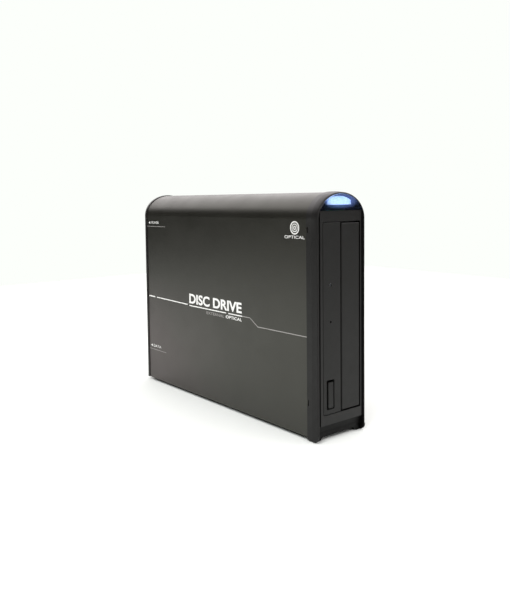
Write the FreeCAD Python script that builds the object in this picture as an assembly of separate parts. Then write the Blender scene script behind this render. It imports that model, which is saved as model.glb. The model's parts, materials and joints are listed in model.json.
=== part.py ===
import FreeCAD, Part
import math
import os
from FreeCAD import Vector

# External optical drive: a half-height disc drive standing on its side in an arched sleeve.
# Row frame, millimetres: +Z up, the front faces -Y, the origin is under the middle of the base.

# ---- enclosure ---------------------------------------------------------------------------
CASE_W = 52.5            # across the sleeve, along X
CASE_L = 249.0           # front rim to rear rim, along Y
CASE_H = 188.0           # feet to the top of the arch
ARCH_RISE = 20.5         # height of the elliptical arch
FOOT_H = 2.8             # sleeve's underside above the desk
SLEEVE_STEP = 0.6        # how far both bezels stand proud of the sleeve
SLEEVE_WALL = 1.6        # bezel surface to the sleeve's inside
FRONT_DEPTH = 11.4       # how far the front bezel reaches back
FRONT_SLANT = (5.9, 0.6)  # its sides slant inwards over this depth, by this much
FRONT_ROUND = 1.2        # the rounding between its sides and its face
TOE_ROUND = 5.4          # the front feet, seen from the side: toe, flat and long heel
FOOT_FLAT = 1.6
HEEL_ROUND = 10.0
FOOT_ACROSS = (5.0, 11.0)  # in from the side: where a foot's flat ends and where its flare ends
FOOT_CORNER = 2.0        # a foot's rounded outside corner
SPIGOT = 6.0             # how far both bezels reach into the sleeve
SPIGOT_GAP = 0.15
SPIGOT_WALL = 1.6
REAR_DEPTH = 4.4         # how far the rear bezel reaches forward
REAR_ROUND = 2.4
REAR_DISH = 1.6          # how deep the rear face is sunk
ARCH_Z = CASE_H - ARCH_RISE
FRONT_Y = -CASE_L / 2
REAR_Y = CASE_L / 2
SEAM_FRONT = FRONT_Y + FRONT_DEPTH
SEAM_REAR = REAR_Y - REAR_DEPTH
SIDE_X = CASE_W / 2
PANEL_X = 22.2           # half width of the front panel
PANEL_Y = FRONT_Y + 0.8  # its front face
PANEL_Z = (12.4, 173.6)
PANEL_T = 3.6
GROOVE = 2.6             # depth of the shadow groove round the panel
LENS_Z = 174.0           # the light's straight lower edge
RIM = 1.9                # front bezel's rim, across
LENS_RIM = 1.6           # the same over the arch
LENS_ROUND = 0.5
GLOW_X = 12.9            # half width of the lit diffuser
GLOW_Z = (178.0, 181.2, 184.6)   # its foot, where its sides end, and its top
NOTCHES_Z = (29.4, 159.5)   # release notches in the front bezel's rear edge
NOTCH_DEPTH = 1.6
CHANNELS = [(-20.4, 8.6), (20.4, 8.6), (-16.4, 175.8), (16.4, 175.8)]

# ---- drive, in its own lying-flat frame: X right, Y back, Z up, bezel front at Y 0 --------
BODY_X = 73.0            # half of the drive's 146 mm
BODY_Y = 170.0
BODY_Z = 41.3
BEZEL_X = 72.3           # half of its faceplate
BEZEL_T = 5.0
FACE_Z = (0.65, 40.6)
FACE_ROUND = 1.4
WINDOW_GAP = 0.45
SEAT = Vector(-19.95, PANEL_Y, 92.7)   # where the flat frame's origin stands
GAP = 1.4                # beside the tray door
DOOR_X = (0.7 - BEZEL_X, BEZEL_X - 0.7)
DOOR_Z = (20.3, 39.9)
DOOR_T = 2.6
MOUTH_X = 67.6           # half of the opening behind the door
MOUTH_Z = (21.8, 36.6)
BUTTON_X = (48.2, 68.2)
BUTTON_Z = (6.1, 11.7)
BUTTON_HOLE = ((46.2, 68.8), (4.0, 12.2))
LED_AT = (-25.5, 8.55)
PINHOLE_AT = (2.3, 8.55)
SIDE_HOLES_Y = (52.4, 131.9)
SIDE_HOLE_Z = 10.0

# disc, tray and loading gear
SPINDLE_Y = 72.0
TRAY_X = 64.5
TRAY_FLANGE_X = 66.0
TRAY_Y = (DOOR_T, 164.0)
TRAY_Z = (27.5, 33.0)
RECESS_R = 60.6
SMALL_RECESS_R = 41.0
SLOT_X = 19.0
RACK_MODULE = 1.25
RACK_TEETH_GEAR = 16
RACK_R = RACK_MODULE * RACK_TEETH_GEAR / 2
RACK_GEAR_AT = (-30.0, 24.0)
TRAIN_MODULE = 0.8
WHEEL_TEETH = 40
PINION_TEETH = 14
TRAIN_DISTANCE = TRAIN_MODULE * (WHEEL_TEETH + PINION_TEETH) / 2 + 0.05
TRAIN_ANGLE = math.radians(-5.3)
PULLEY_AT = (RACK_GEAR_AT[0] + TRAIN_DISTANCE * math.cos(TRAIN_ANGLE),
             RACK_GEAR_AT[1] + TRAIN_DISTANCE * math.sin(TRAIN_ANGLE))
MOTOR_AT = (26.0, 25.0)
PULLEY_GROOVE_R = 12.0
MOTOR_GROOVE_R = 3.0
BELT_T = 1.2
BELT_CLEAR = 0.08
BELT_Z = 14.5
DECK_Z = (8.0, 10.5)

# traverse: the tilting frame with the spindle motor and the pickup
HINGE_Y = 152.0
HINGE_Z = 15.0
FRAME_X = 37.0
FRAME_Z = (13.5, 16.5)
FRAME_Y = (46.0, 154.5)
ROD_X = 20.0
ROD_Z = 19.5
ROD_R = 1.5
ROD_Y = (77.5, 148.5)
SCREW_X = 30.5
SCREW_R = 1.5
SCREW_PITCH = 3.0
SCREW_TURNS = 21
PICKUP_Y = (86.5, 110.5)
LENS_Y = 98.0
CAM_Y = (41.5, 43.5)
CAM_PINS_X = (-16.0, 20.0)
CAM_PIN_R = 1.25
CAM_PIN_Z = 15.0
CAM_TRAVEL = 12.0
TILT = math.radians(3.0)
CAM_DROP = (HINGE_Y - (CAM_Y[0] + CAM_Y[1]) / 2) * math.sin(TILT)
CAM_LOW = CAM_PIN_Z - CAM_DROP - 3.6

# rear bay, in the row frame
CHASSIS_X = (-21.0, -20.0)
CHASSIS_Z = (15.6, 169.4)
CHASSIS_Y = (-106.0, 109.0)
BOARD_X = (-15.4, -13.8)
BOARD_Y = (64.0, 113.0)
BOARD_Z = (26.0, 160.0)
USB_Z = 36.0
JACK_X = -7.6
JACK_Z = 132.0
JACK_HOLE_R = 3.15
JACK_PIN_R = 1.05
SOCKET_Y = REAR_Y - 1.4  # the sockets' outer face
SWITCH_Z = 156.0
ROCK_DEG = 14.0          # the rocker's whole travel
AIR_SLOTS = 9            # air slots in the rear bezel
AIR_LOW = 56.0
AIR_PITCH = 7.0
AIR_GAP = 2.6
AIR_HALF = 16.0
FEET_AT = [(-14.5, 104.0), (14.5, 104.0)]


# ---- small tools -------------------------------------------------------------------------
def block(x, y, z):
    """A box from three (low, high) pairs."""
    return Part.makeBox(x[1] - x[0], y[1] - y[0], z[1] - z[0], Vector(x[0], y[0], z[0]))


def rod(centre, radius, length, along):
    """A cylinder that starts at centre and runs along a direction."""
    return Part.makeCylinder(radius, length, Vector(*centre), Vector(*along))


def join(*shapes):
    """One solid from several."""
    made = shapes[0]
    for other in shapes[1:]:
        made = made.fuse(other)
    return made.removeSplitter()


def plate_from(edges, y, depth):
    """Edges drawn in X and Z, as a solid from y to y + depth."""
    face = Part.Face(Part.Wire(edges))
    face.rotate(Vector(0, 0, 0), Vector(1, 0, 0), 90)
    face.translate(Vector(0, y, 0))
    return face.extrude(Vector(0, depth, 0))


def line(a, b):
    """A straight edge between two points of a flat drawing."""
    return Part.makeLine(Vector(a[0], a[1], 0), Vector(b[0], b[1], 0))


def polygon(points, z, height):
    """A prism with a flat outline of (x, y) points."""
    corners = [Vector(px, py, z) for px, py in points]
    face = Part.Face(Part.makePolygon(corners + corners[:1]))
    return face.extrude(Vector(0, 0, height))


def prism(points, y, depth):
    """A prism with an outline of (x, z) points."""
    edges = [line(a, b) for a, b in zip(points, points[1:] + points[:1])]
    return plate_from(edges, y, depth)


def side_prism(points, half):
    """A prism with an outline of (y, z) points, from x = -half to x = half."""
    corners = [Vector(-half, py, pz) for py, pz in points]
    return Part.Face(Part.makePolygon(corners + corners[:1])).extrude(Vector(2 * half, 0, 0))


def rounded(x, z, radius, y, depth, left_only=False):
    """A plate with rounded corners (all, or those at low X), from (low, high) pairs in X and Z."""
    body = block(x, (y, y + depth), z)
    corners = [e for e in body.Edges if e.BoundBox.YLength > depth / 2]
    if left_only:
        corners = [e for e in corners if e.BoundBox.XMax < x[0] + 0.01]
    return body.makeFillet(radius, corners)


def seat(shape):
    """Stands a shape from the drive's lying-flat frame in its place in the case."""
    placed = shape.copy()
    placed.rotate(Vector(0, 0, 0), Vector(0, 1, 0), 90)
    placed.translate(SEAT)
    return placed


def group(shapes):
    """Separate solids that share a node."""
    return Part.makeCompound([s for shape in shapes for s in shape.Solids])


PARTS = {}


def keep(name, shape):
    """Files a finished piece under its node name."""
    PARTS[name] = shape


# ---- profiles of the case ----------------------------------------------------------------
def case_edges(inset, raised=None):
    """The arched section, offset inwards, as flat edges; raised overrides the offset of its base."""
    half = SIDE_X - inset
    low = FOOT_H + (inset if raised is None else raised)
    arc = Part.Arc(Part.Ellipse(Vector(0, ARCH_Z, 0), half, ARCH_RISE - inset), 0, math.pi)
    return [
        arc.toShape(),
        line((-half, ARCH_Z), (-half, low)),
        line((-half, low), (half, low)),
        line((half, low), (half, ARCH_Z)),
    ]


def case_profile(inset, y, depth, raised=None):
    """The arched section as a solid slab."""
    return plate_from(case_edges(inset, raised), y, depth)


def slanted_front():
    """The front bezel's outside: its sides slant inwards to a rounded front edge."""
    depth, inwards = FRONT_SLANT
    wires = []
    for inset, y in ((inwards, FRONT_Y), (0, FRONT_Y + depth)):
        wire = Part.Wire(case_edges(inset, raised=0))
        wire.rotate(Vector(0, 0, 0), Vector(1, 0, 0), 90)
        wire.translate(Vector(0, y, 0))
        wires.append(wire)
    rim = join(Part.makeLoft(wires, True, True), case_profile(0, FRONT_Y + depth, FRONT_DEPTH - depth))
    front_edges = [e for e in rim.Edges
                   if e.BoundBox.YMax < FRONT_Y + 0.01 and e.BoundBox.ZMax > FOOT_H + 1]
    return rim.makeFillet(FRONT_ROUND, front_edges)


def s_curve(start, end):
    """Two arcs from one point of a flat drawing to another, level at both ends."""
    across, rise = (end[0] - start[0]) / 2, (end[1] - start[1]) / 2
    radius = (across ** 2 + rise ** 2) / (2 * abs(rise))
    turn = math.asin(abs(across) / radius) / 2
    reach = math.copysign(radius * math.sin(turn), across)
    climb = math.copysign(radius * (1 - math.cos(turn)), rise)
    middle = Vector(start[0] + across, start[1] + rise, 0)
    return [
        Part.Arc(Vector(*start, 0), Vector(start[0] + reach, start[1] + climb, 0), middle).toShape(),
        Part.Arc(middle, Vector(end[0] - reach, end[1] - climb, 0), Vector(*end, 0)).toShape(),
    ]


def foot_blank(side, y, depth):
    """A moulded foot under one side of the front bezel, rounded outside and flared inside."""
    outer, flat, inner = (side * (SIDE_X - back) for back in (0, FOOT_ACROSS[0], FOOT_ACROSS[1]))
    r = FOOT_CORNER
    top = FOOT_H + 3
    corner = Part.Arc(Vector(outer, r, 0), Vector(outer - side * r * 0.293, r * 0.293, 0),
                      Vector(outer - side * r, 0, 0))
    edges = [
        line((outer, top), (outer, r)),
        corner.toShape(),
        line((outer - side * r, 0), (flat, 0)),
        *s_curve((flat, 0), (inner, FOOT_H)),
        line((inner, FOOT_H), (inner, top)),
        line((inner, top), (outer, top)),
    ]
    return plate_from(edges, y, depth)


def rounded_foot(side):
    """One foot of the front bezel, with the bezel's slant, a rounded toe and a long heel."""
    foot = foot_blank(side, FRONT_Y, FRONT_DEPTH)
    depth, inwards = FRONT_SLANT
    outside = side * SIDE_X
    slant = [(outside, FRONT_Y + depth), (side * (SIDE_X - inwards), FRONT_Y),
             (side * (SIDE_X + 2), FRONT_Y - 1), (side * (SIDE_X + 2), FRONT_Y + depth)]
    foot = foot.cut(polygon(slant, -1, FOOT_H + 5))
    wide = (-SIDE_X - 1, SIDE_X + 1)
    toe_y = FRONT_Y + TOE_ROUND
    heel_y = toe_y + FOOT_FLAT
    across = 2 * SIDE_X + 4
    toe = block(wide, (FRONT_Y - 1, toe_y), (-1, TOE_ROUND))
    toe = toe.cut(rod((wide[0] - 1, toe_y, TOE_ROUND), TOE_ROUND, across, (1, 0, 0)))
    heel = block(wide, (heel_y, SEAM_FRONT + 1), (-1, FOOT_H))
    heel = heel.cut(rod((wide[0] - 1, heel_y, HEEL_ROUND), HEEL_ROUND, across, (1, 0, 0)))
    return foot.cut(toe).cut(heel)


def case_sleeve():
    """Extruded aluminium sleeve with screw channels and a groove for the chassis."""
    length = SEAM_REAR - SEAM_FRONT
    shell = case_profile(SLEEVE_STEP, SEAM_FRONT, length, raised=0)
    shell = shell.cut(case_profile(SLEEVE_WALL, SEAM_FRONT, length))
    start, end = CHASSIS_Y
    inner_x = SIDE_X - SLEEVE_WALL
    extras = []
    for x, z in CHANNELS:
        extras.append(rod((x, start, z), 3.0, end - start, (0, 1, 0)))
        out = sorted_pair(x, math.copysign(SIDE_X, x))
        extras.append(block(out, (start, end), (z - 1.2, z + 1.2)))
    for z0, z1 in ((CHASSIS_Z[0] - 3, CHASSIS_Z[0] + 2), (CHASSIS_Z[1] - 2, CHASSIS_Z[1] + 3)):
        extras.append(block((-inner_x - 0.5, -18.6), (start, end), (z0, z1)))
    within = case_profile(SLEEVE_STEP + 0.4, start, end - start)
    shell = join(shell, *[e.common(within) for e in extras])
    for x, z in CHANNELS:
        shell = shell.cut(rod((x, start, z), 1.35, end - start, (0, 1, 0)))
    groove = block((CHASSIS_X[0] - 0.1, CHASSIS_X[1] + 0.1), CHASSIS_Y,
                   (CHASSIS_Z[0] - 0.1, CHASSIS_Z[1] + 0.1))
    shell = shell.cut(groove)
    for x, y in FEET_AT:
        shell = shell.cut(rod((x, y, FOOT_H), 2.0, SLEEVE_WALL, (0, 0, 1)))
    keep("case_sleeve", shell)


def hollow_spigot(y, depth):
    """The arched ring of a bezel that slides into the sleeve."""
    outside = SLEEVE_WALL + SPIGOT_GAP
    return case_profile(outside, y, depth).cut(case_profile(outside + SPIGOT_WALL, y - 1, depth + 2))


def front_bezel():
    """Moulded front frame: rounded rim, sunk panel round the drive, chin, feet and spigot."""
    rim = join(slanted_front(), rounded_foot(-1), rounded_foot(1))
    inner = case_profile(RIM, FRONT_Y, FRONT_DEPTH)
    below_lens = block((-SIDE_X, SIDE_X), (FRONT_Y - 1, SEAM_FRONT), (0, LENS_Z - 0.4))
    frame = rim.cut(inner.common(below_lens))
    lens_hole = case_profile(LENS_RIM, FRONT_Y, FRONT_DEPTH)
    frame = frame.cut(lens_hole.common(block((-SIDE_X, SIDE_X), (FRONT_Y - 1, SEAM_FRONT),
                                             (LENS_Z - 0.4, CASE_H))))
    # sunk panel with the drive's window, joined to the rim behind a shadow groove
    window = rounded((SEAT.x + FACE_Z[0] - WINDOW_GAP, SEAT.x + FACE_Z[1] + WINDOW_GAP),
                     (SEAT.z - BEZEL_X - WINDOW_GAP, SEAT.z + BEZEL_X + WINDOW_GAP),
                     FACE_ROUND + WINDOW_GAP, FRONT_Y - 1, 9, left_only=True)
    panel = block((-PANEL_X, PANEL_X), (PANEL_Y, PANEL_Y + PANEL_T), PANEL_Z)
    web = block((-SIDE_X + RIM - 0.3, SIDE_X - RIM + 0.3), (PANEL_Y + GROOVE, PANEL_Y + PANEL_T),
                (FOOT_H + 3, PANEL_Z[1]))
    # chin: slopes back from under the panel to the underside, between the rims and the feet
    chin_x = SIDE_X - RIM
    slope = [(PANEL_Y + 1.6, PANEL_Z[0]), (PANEL_Y + PANEL_T, FOOT_H)]
    front = side_prism([(FRONT_Y - 1, PANEL_Z[0]), slope[0], slope[1], (slope[1][0], -1),
                        (FRONT_Y - 1, -1)], chin_x)
    frame = frame.cut(front)
    chin = side_prism([slope[0], (PANEL_Y + 4.4, PANEL_Z[0]), (SEAM_FRONT, FOOT_H + 3.0),
                       (SEAM_FRONT, FOOT_H), slope[1]], chin_x + 0.1)
    shelf = block((-21.5, 21.5), (PANEL_Y + 1.6, SEAM_FRONT), (PANEL_Z[1] - 1.6, PANEL_Z[1]))
    spigot = hollow_spigot(SEAM_FRONT - 0.5, SPIGOT + 0.5)
    bridge = case_profile(RIM - 0.2, SEAM_FRONT - 2, 2).cut(case_profile(RIM + 0.8, SEAM_FRONT - 3, 4))
    frame = join(frame, panel, web, chin, shelf, bridge, spigot)
    # release notches in the rear edge of the rim
    for side in (-1, 1):
        for z in NOTCHES_Z:
            x = (side * SIDE_X - NOTCH_DEPTH, side * SIDE_X + NOTCH_DEPTH)
            frame = frame.cut(block(x, (SEAM_FRONT - 1.9, SEAM_FRONT), (z - 2.1, z + 2.1)))
    keep("front_bezel", frame.cut(window))


def lens_light():
    """Blue window over the front, the diffuser behind it and its lamp board."""
    inset = LENS_RIM + 0.1
    lens = case_profile(inset, FRONT_Y + 0.15, 2.6)
    lens = lens.common(block((-SIDE_X, SIDE_X), (FRONT_Y - 1, FRONT_Y + 8), (LENS_Z, CASE_H)))
    edges = [e for e in lens.Edges if e.BoundBox.YMax < FRONT_Y + 0.16 and e.BoundBox.ZMax > LENS_Z + 1]
    keep("light_lens", lens.makeFillet(LENS_ROUND, edges))
    low, spring, top = GLOW_Z
    arc = Part.Arc(Vector(GLOW_X, spring, 0), Vector(0, top, 0), Vector(-GLOW_X, spring, 0)).toShape()
    edges = [
        arc,
        line((-GLOW_X, spring), (-GLOW_X, low)),
        line((-GLOW_X, low), (GLOW_X, low)),
        line((GLOW_X, low), (GLOW_X, spring)),
    ]
    keep("light_diffuser", plate_from(edges, FRONT_Y + 4.0, 1.4))
    board_y = FRONT_Y + 8.6
    keep("lamp_board", block((-11, 11), (board_y, board_y + 1.6), (PANEL_Z[1], 181.6)))
    lamps = []
    for x in (-7, 0, 7):
        body = rod((x, board_y - 1.6, 179.4), 1.5, 1.6, (0, 1, 0))
        lamps.append(join(body, Part.makeSphere(1.5, Vector(x, board_y - 1.6, 179.4))))
    keep("status_leds", group(lamps))


def rear_bezel():
    """Moulded rear cap with cut-outs for the sockets, the switch and the air slots."""
    rim = case_profile(0, SEAM_REAR, REAR_DEPTH)
    edges = [e for e in rim.Edges if e.BoundBox.YMin > REAR_Y - 0.01]
    rim = rim.makeFillet(REAR_ROUND, edges)
    hollow = case_profile(REAR_ROUND, SEAM_REAR, REAR_DEPTH - REAR_DISH - 1.6)
    dish = case_profile(3.0, REAR_Y - REAR_DISH, REAR_DISH + 0.4)
    start = SEAM_REAR - SPIGOT
    cap = join(rim.cut(hollow).cut(dish), hollow_spigot(start, SPIGOT + 0.5))
    boss_depth = SPIGOT + REAR_DEPTH - REAR_DISH
    bosses = [rod((x, start, z), 2.9, boss_depth, (0, 1, 0)) for x, z in CHANNELS]
    within = case_profile(SLEEVE_WALL + SPIGOT_GAP, start, boss_depth)
    cap = join(cap, *[b.common(within) for b in bosses])
    through = (SEAM_REAR - 8, REAR_Y + 1)
    for x, z in CHANNELS:
        cap = cap.cut(rod((x, through[0], z), 1.6, 20, (0, 1, 0)))
        cap = cap.cut(rod((x, REAR_Y - REAR_DISH, z), 3.1, 4, (0, 1, 0)))
    cap = cap.cut(block((-14.2, -2.3), through, (USB_Z - 6.4, USB_Z + 6.4)))
    cap = cap.cut(rod((JACK_X, through[0], JACK_Z), 4.9, 20, (0, 1, 0)))
    cap = cap.cut(block((-6.6, 6.6), through, (SWITCH_Z - 9.7, SWITCH_Z + 9.7)))
    for row in range(AIR_SLOTS):
        z = AIR_LOW + row * AIR_PITCH
        cap = cap.cut(rounded((-AIR_HALF, AIR_HALF), (z, z + AIR_GAP), 1.2, through[0], 20))
    keep("rear_bezel", cap)


def feet_and_screws():
    """Rubber feet under the back, and the screws that hold the rear bezel."""
    feet = []
    for x, y in FEET_AT:
        pad = Part.makeCone(4.2, 4.8, FOOT_H, Vector(x, y, 0), Vector(0, 0, 1))
        feet.append(join(pad, rod((x, y, FOOT_H), 1.95, SLEEVE_WALL + 0.4, (0, 0, 1)),
                         Part.makeCone(2.5, 1.8, 1.0, Vector(x, y, FOOT_H + SLEEVE_WALL + 0.1))))
    keep("rear_feet", group(feet))
    screws = []
    for x, z in CHANNELS:
        head_y = REAR_Y - REAR_DISH
        shank = rod((x, head_y - 18, z), 1.25, 18, (0, 1, 0))
        head = Part.makeCone(2.9, 2.3, 1.4, Vector(x, head_y, z), Vector(0, 1, 0))
        screws.append(cross_slot(join(shank, head), (x, head_y + 1.4, z), (0, -1, 0)))
    keep("case_screws", group(screws))


def cross_slot(screw, top, into):
    """Cuts a cross recess in a screw's head; into points down the shank, along Y or Z."""
    x, y, z = top
    for wide in ((1.6, 0.3), (0.3, 1.6)):
        if into[1]:
            span = (y, y + into[1] * 0.9)
            bit = block((x - wide[0], x + wide[0]), (min(span), max(span)), (z - wide[1], z + wide[1]))
        else:
            span = (z, z + into[2] * 0.9)
            bit = block((x - wide[0], x + wide[0]), (y - wide[1], y + wide[1]), (min(span), max(span)))
        screw = screw.cut(bit)
    return screw


# ---- drive body --------------------------------------------------------------------------
def drive_bezel():
    """Faceplate with the tray's opening, the button's hole, the lamp and the release pinhole."""
    face = block((-BEZEL_X, BEZEL_X), (0, BEZEL_T), FACE_Z)
    corners = [e for e in face.Edges if e.BoundBox.YLength > 1 and e.BoundBox.ZMax < FACE_Z[0] + 0.01]
    face = face.makeFillet(FACE_ROUND, corners)
    face = face.makeFillet(0.4, [e for e in face.Edges if e.BoundBox.YMax < 0.01])
    rebate = block((-BEZEL_X - 1, BEZEL_X + 1), (-1, DOOR_T + 0.3), (DOOR_Z[0] - GAP, FACE_Z[1] + 1))
    mouth = block((-MOUTH_X, MOUTH_X), (-1, BEZEL_T + 1), MOUTH_Z)
    hole = rounded(*BUTTON_HOLE, 0.9, -1, BEZEL_T + 2)
    face = face.cut(rebate).cut(mouth).cut(hole)
    face = face.cut(rod((LED_AT[0], -1, LED_AT[1]), 1.1, 8, (0, 1, 0)))
    face = face.cut(rod((PINHOLE_AT[0], -1, PINHOLE_AT[1]), 0.9, 8, (0, 1, 0)))
    keep("drive_bezel", seat(face))


def drive_shells():
    """The drive's folded steel base and cover."""
    wall = 0.9
    split = 25.0
    outer = block((-BODY_X, BODY_X), (BEZEL_T, BODY_Y), (0, split))
    inner = block((-BODY_X + wall, BODY_X - wall), (BEZEL_T - 1, BODY_Y - wall), (wall, split + 1))
    base = outer.cut(inner)
    base = base.cut(block((-26, 26), (BODY_Y - 2, BODY_Y + 1), (1.6, 11.0)))
    for y in SIDE_HOLES_Y:
        base = base.cut(rod((-BODY_X - 1, y, SIDE_HOLE_Z), 1.55, 2 * BODY_X + 2, (1, 0, 0)))
    for x in (-50, 50):
        for y in (58.0, 150.0):
            base = base.cut(rod((x, y, -1), 1.55, 3, (0, 0, 1)))
    keep("drive_base", seat(base))

    outer = block((-BODY_X, BODY_X), (BEZEL_T, BODY_Y), (split + 0.2, BODY_Z))
    inner = block((-BODY_X + wall, BODY_X - wall), (BEZEL_T - 1, BODY_Y - wall), (0, BODY_Z - 0.8))
    cover = outer.cut(inner)
    ring = rod((0, SPINDLE_Y, BODY_Z - 0.3), 27, 1, (0, 0, 1))
    cover = cover.cut(ring.cut(rod((0, SPINDLE_Y, BODY_Z - 1), 23, 3, (0, 0, 1))))
    for x in (-48, 48):
        cover = cover.cut(block((x - 14, x + 14), (120, 150), (BODY_Z - 0.3, BODY_Z + 1)))
    keep("drive_cover", seat(cover))


def loader_frame():
    """Moulded frame: tray rails, the gear deck with its posts, and the traverse's bearings."""
    rail_in, rail_out = TRAY_X + 0.4, 71.8
    pieces = []
    for side in (-1, 1):
        x = tuple(sorted((side * rail_in, side * rail_out)))
        rail = block(x, (7, 165), (14, 36.4))
        groove_x = tuple(sorted((side * (rail_in - 1), side * (TRAY_FLANGE_X + 0.4))))
        rail = rail.cut(block(groove_x, (6, 166), (TRAY_Z[0] - 0.3, TRAY_Z[0] + 2.9)))
        wall = block(tuple(sorted((side * 68, side * rail_out))), (13, 165), (DECK_Z[0], 14.5))
        bearing = block(tuple(sorted((side * 42.5, side * 46))), (146.5, 158.5), (10, 19.5))
        bearing = bearing.cut(rod((side * 50, HINGE_Y, HINGE_Z), 3.6, 12, (-side, 0, 0)))
        pieces += [rail, wall, bearing]
    deck = block((-rail_out, rail_out), (13, 38), DECK_Z)
    deck = deck.cut(rod((MOTOR_AT[0], MOTOR_AT[1], 0), 3.2, 20, (0, 0, 1)))
    guide = block((-50, 54), (36.5, 43.8), (3.9, CAM_LOW - 0.1))
    keeper = block((-50, 54), (36.5, CAM_Y[0] - 2.15), (3.9, DECK_Z[1]))
    bar = block((-rail_out, rail_out), (158, 165), (6, 20))
    bar = bar.cut(block((-28, 28), (150, 170), (0, 11)))
    gear_post = rod((*RACK_GEAR_AT, DECK_Z[0]), 2.0, 27.2 - DECK_Z[0], (0, 0, 1))
    pulley_post = rod((*PULLEY_AT, DECK_Z[0]), 1.5, 21.4 - DECK_Z[0], (0, 0, 1))
    keep("loader_frame", seat(join(deck, guide, keeper, bar, gear_post, pulley_post, *pieces)))


def clamp():
    """Steel bridge over the tray, and the floating clamp with its magnet plate."""
    bridge = block((-71, 71), (57, 87), (36.4, 37.4))
    bridge = bridge.cut(rod((0, SPINDLE_Y, 30), 13.6, 20, (0, 0, 1)))
    for side in (-1, 1):
        bridge = bridge.cut(block((side * 45 - 12, side * 45 + 12), (64, 80), (30, 45)))
        for y in (60.5, 83.5):
            bridge = bridge.cut(rod((side * 68, y, 30), 1.2, 20, (0, 0, 1)))
    keep("clamp_bridge", seat(bridge))
    centre = (0, SPINDLE_Y)
    puck = join(rod((*centre, 33.7), 12.6, 4.4, (0, 0, 1)), rod((*centre, 38.0), 16.5, 1.2, (0, 0, 1)))
    puck = puck.cut(rod((*centre, 36.2), 9.0, 5, (0, 0, 1)))
    puck = puck.cut(Part.makeCone(8.2, 7.0, 1.4, Vector(*centre, 33.6)))
    keep("clamp_puck", seat(puck))
    magnet = rod((*centre, 36.3), 8.8, 2.6, (0, 0, 1)).cut(rod((*centre, 30), 3.0, 20, (0, 0, 1)))
    keep("clamp_magnet", seat(magnet))


# ---- tray --------------------------------------------------------------------------------
def rack_outline():
    """Outline of the tray's rack: its back, then its teeth, in tray coordinates."""
    pitch = math.pi * RACK_MODULE
    line_x = RACK_GEAR_AT[0] - RACK_R
    tip, root, back = line_x + 0.95 * RACK_MODULE, line_x - 1.2 * RACK_MODULE, line_x - 5.0
    half = pitch / 4 - 0.12
    slope = math.tan(math.radians(20))
    points = [(back, RACK_GEAR_AT[1] - 5.6)]
    for k in range(-1, 36):
        y = RACK_GEAR_AT[1] + k * pitch
        base, crest = half + slope * (line_x - root), half - slope * (tip - line_x)
        points += [(root, y - base), (tip, y - crest), (tip, y + crest), (root, y + base)]
    points.append((back, points[-1][1] + 1.5))
    points.insert(1, (root, RACK_GEAR_AT[1] - 5.6))
    points.insert(len(points) - 1, (root, points[-1][1]))
    return points


def disc_tray():
    """Tray with two disc recesses, the open slot for the hub, side flanges, rack and tabs."""
    body = block((-TRAY_X, TRAY_X), TRAY_Y, TRAY_Z)
    flange = block((-TRAY_FLANGE_X, TRAY_FLANGE_X), (12, TRAY_Y[1]), (TRAY_Z[0], TRAY_Z[0] + 2.6))
    lip = block((-TRAY_X, TRAY_X), (TRAY_Y[0], 8.5), (TRAY_Z[0] - 4.5, MOUTH_Z[1] - 1.1))
    tray = join(body, flange, lip)
    tray = tray.cut(rod((0, SPINDLE_Y, TRAY_Z[1] - 2.0), RECESS_R, 5, (0, 0, 1)))
    tray = tray.cut(rod((0, SPINDLE_Y, TRAY_Z[1] - 3.4), SMALL_RECESS_R, 5, (0, 0, 1)))
    slot = join(
        block((-SLOT_X, SLOT_X), (SPINDLE_Y, TRAY_Y[1] + 1), (20, 40)),
        rod((0, SPINDLE_Y, 20), SLOT_X, 20, (0, 0, 1)),
    )
    tray = tray.cut(slot)
    for side in (-1, 1):
        # finger scoop in front, and lightening slots behind the recess
        tray = tray.cut(rod((side * 70.0, 22.0, TRAY_Z[1] - 2.0), 22.0, 5, (0, 0, 1)).common(
            block((-63, 63), (10, 50), (TRAY_Z[1] - 2.0, TRAY_Z[1] + 1))))
        tray = tray.cut(block((side * 51 - 9, side * 51 + 9), (138, 158), (20, 40)).cut(
            block((-50, -36), (130, 165), (20, 40))))
    tray = join(tray, polygon(rack_outline(), TRAY_Z[0] - 5.0, 5.2))
    for angle in (40, 140, 220, 320):
        a = math.radians(angle)
        x, y = (RECESS_R + 0.6) * math.cos(a), SPINDLE_Y + (RECESS_R + 0.6) * math.sin(a)
        tray = join(tray, rod((x, y, TRAY_Z[1] - 0.4), 2.6, 1.3, (0, 0, 1)))
    keep("disc_tray", seat(tray))
    door = block(DOOR_X, (0.0, TRAY_Y[0]), DOOR_Z)
    door = door.makeFillet(0.7, [e for e in door.Edges if e.BoundBox.YMax < 0.01])
    keep("tray_door", seat(door))


# ---- loading gears -----------------------------------------------------------------------
def gear_outline(teeth, module, centre, turn, backlash=0.22):
    """Involute outline as points, with the first tooth's centre at the angle turn."""
    pitch_r = teeth * module / 2
    base_r = pitch_r * math.cos(math.radians(20))
    tip_r, root_r = pitch_r + 0.95 * module, pitch_r - 1.2 * module
    half = math.pi / (2 * teeth) - backlash / (2 * pitch_r)
    shift = math.tan(math.radians(20)) - math.radians(20)
    flank = []
    for k in range(5):
        radius = max(base_r, root_r) + (tip_r - max(base_r, root_r)) * k / 4
        pressure = math.acos(min(1.0, base_r / radius))
        flank.append((radius, half + shift - (math.tan(pressure) - pressure)))
    if root_r < base_r:
        flank.insert(0, (root_r, flank[0][1] + 0.01))
    points = []
    for n in range(teeth):
        middle = turn + 2 * math.pi * n / teeth
        tooth = [(r, middle - a) for r, a in flank] + [(r, middle + a) for r, a in reversed(flank)]
        points += [(centre[0] + r * math.cos(a), centre[1] + r * math.sin(a)) for r, a in tooth]
    return points


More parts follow.
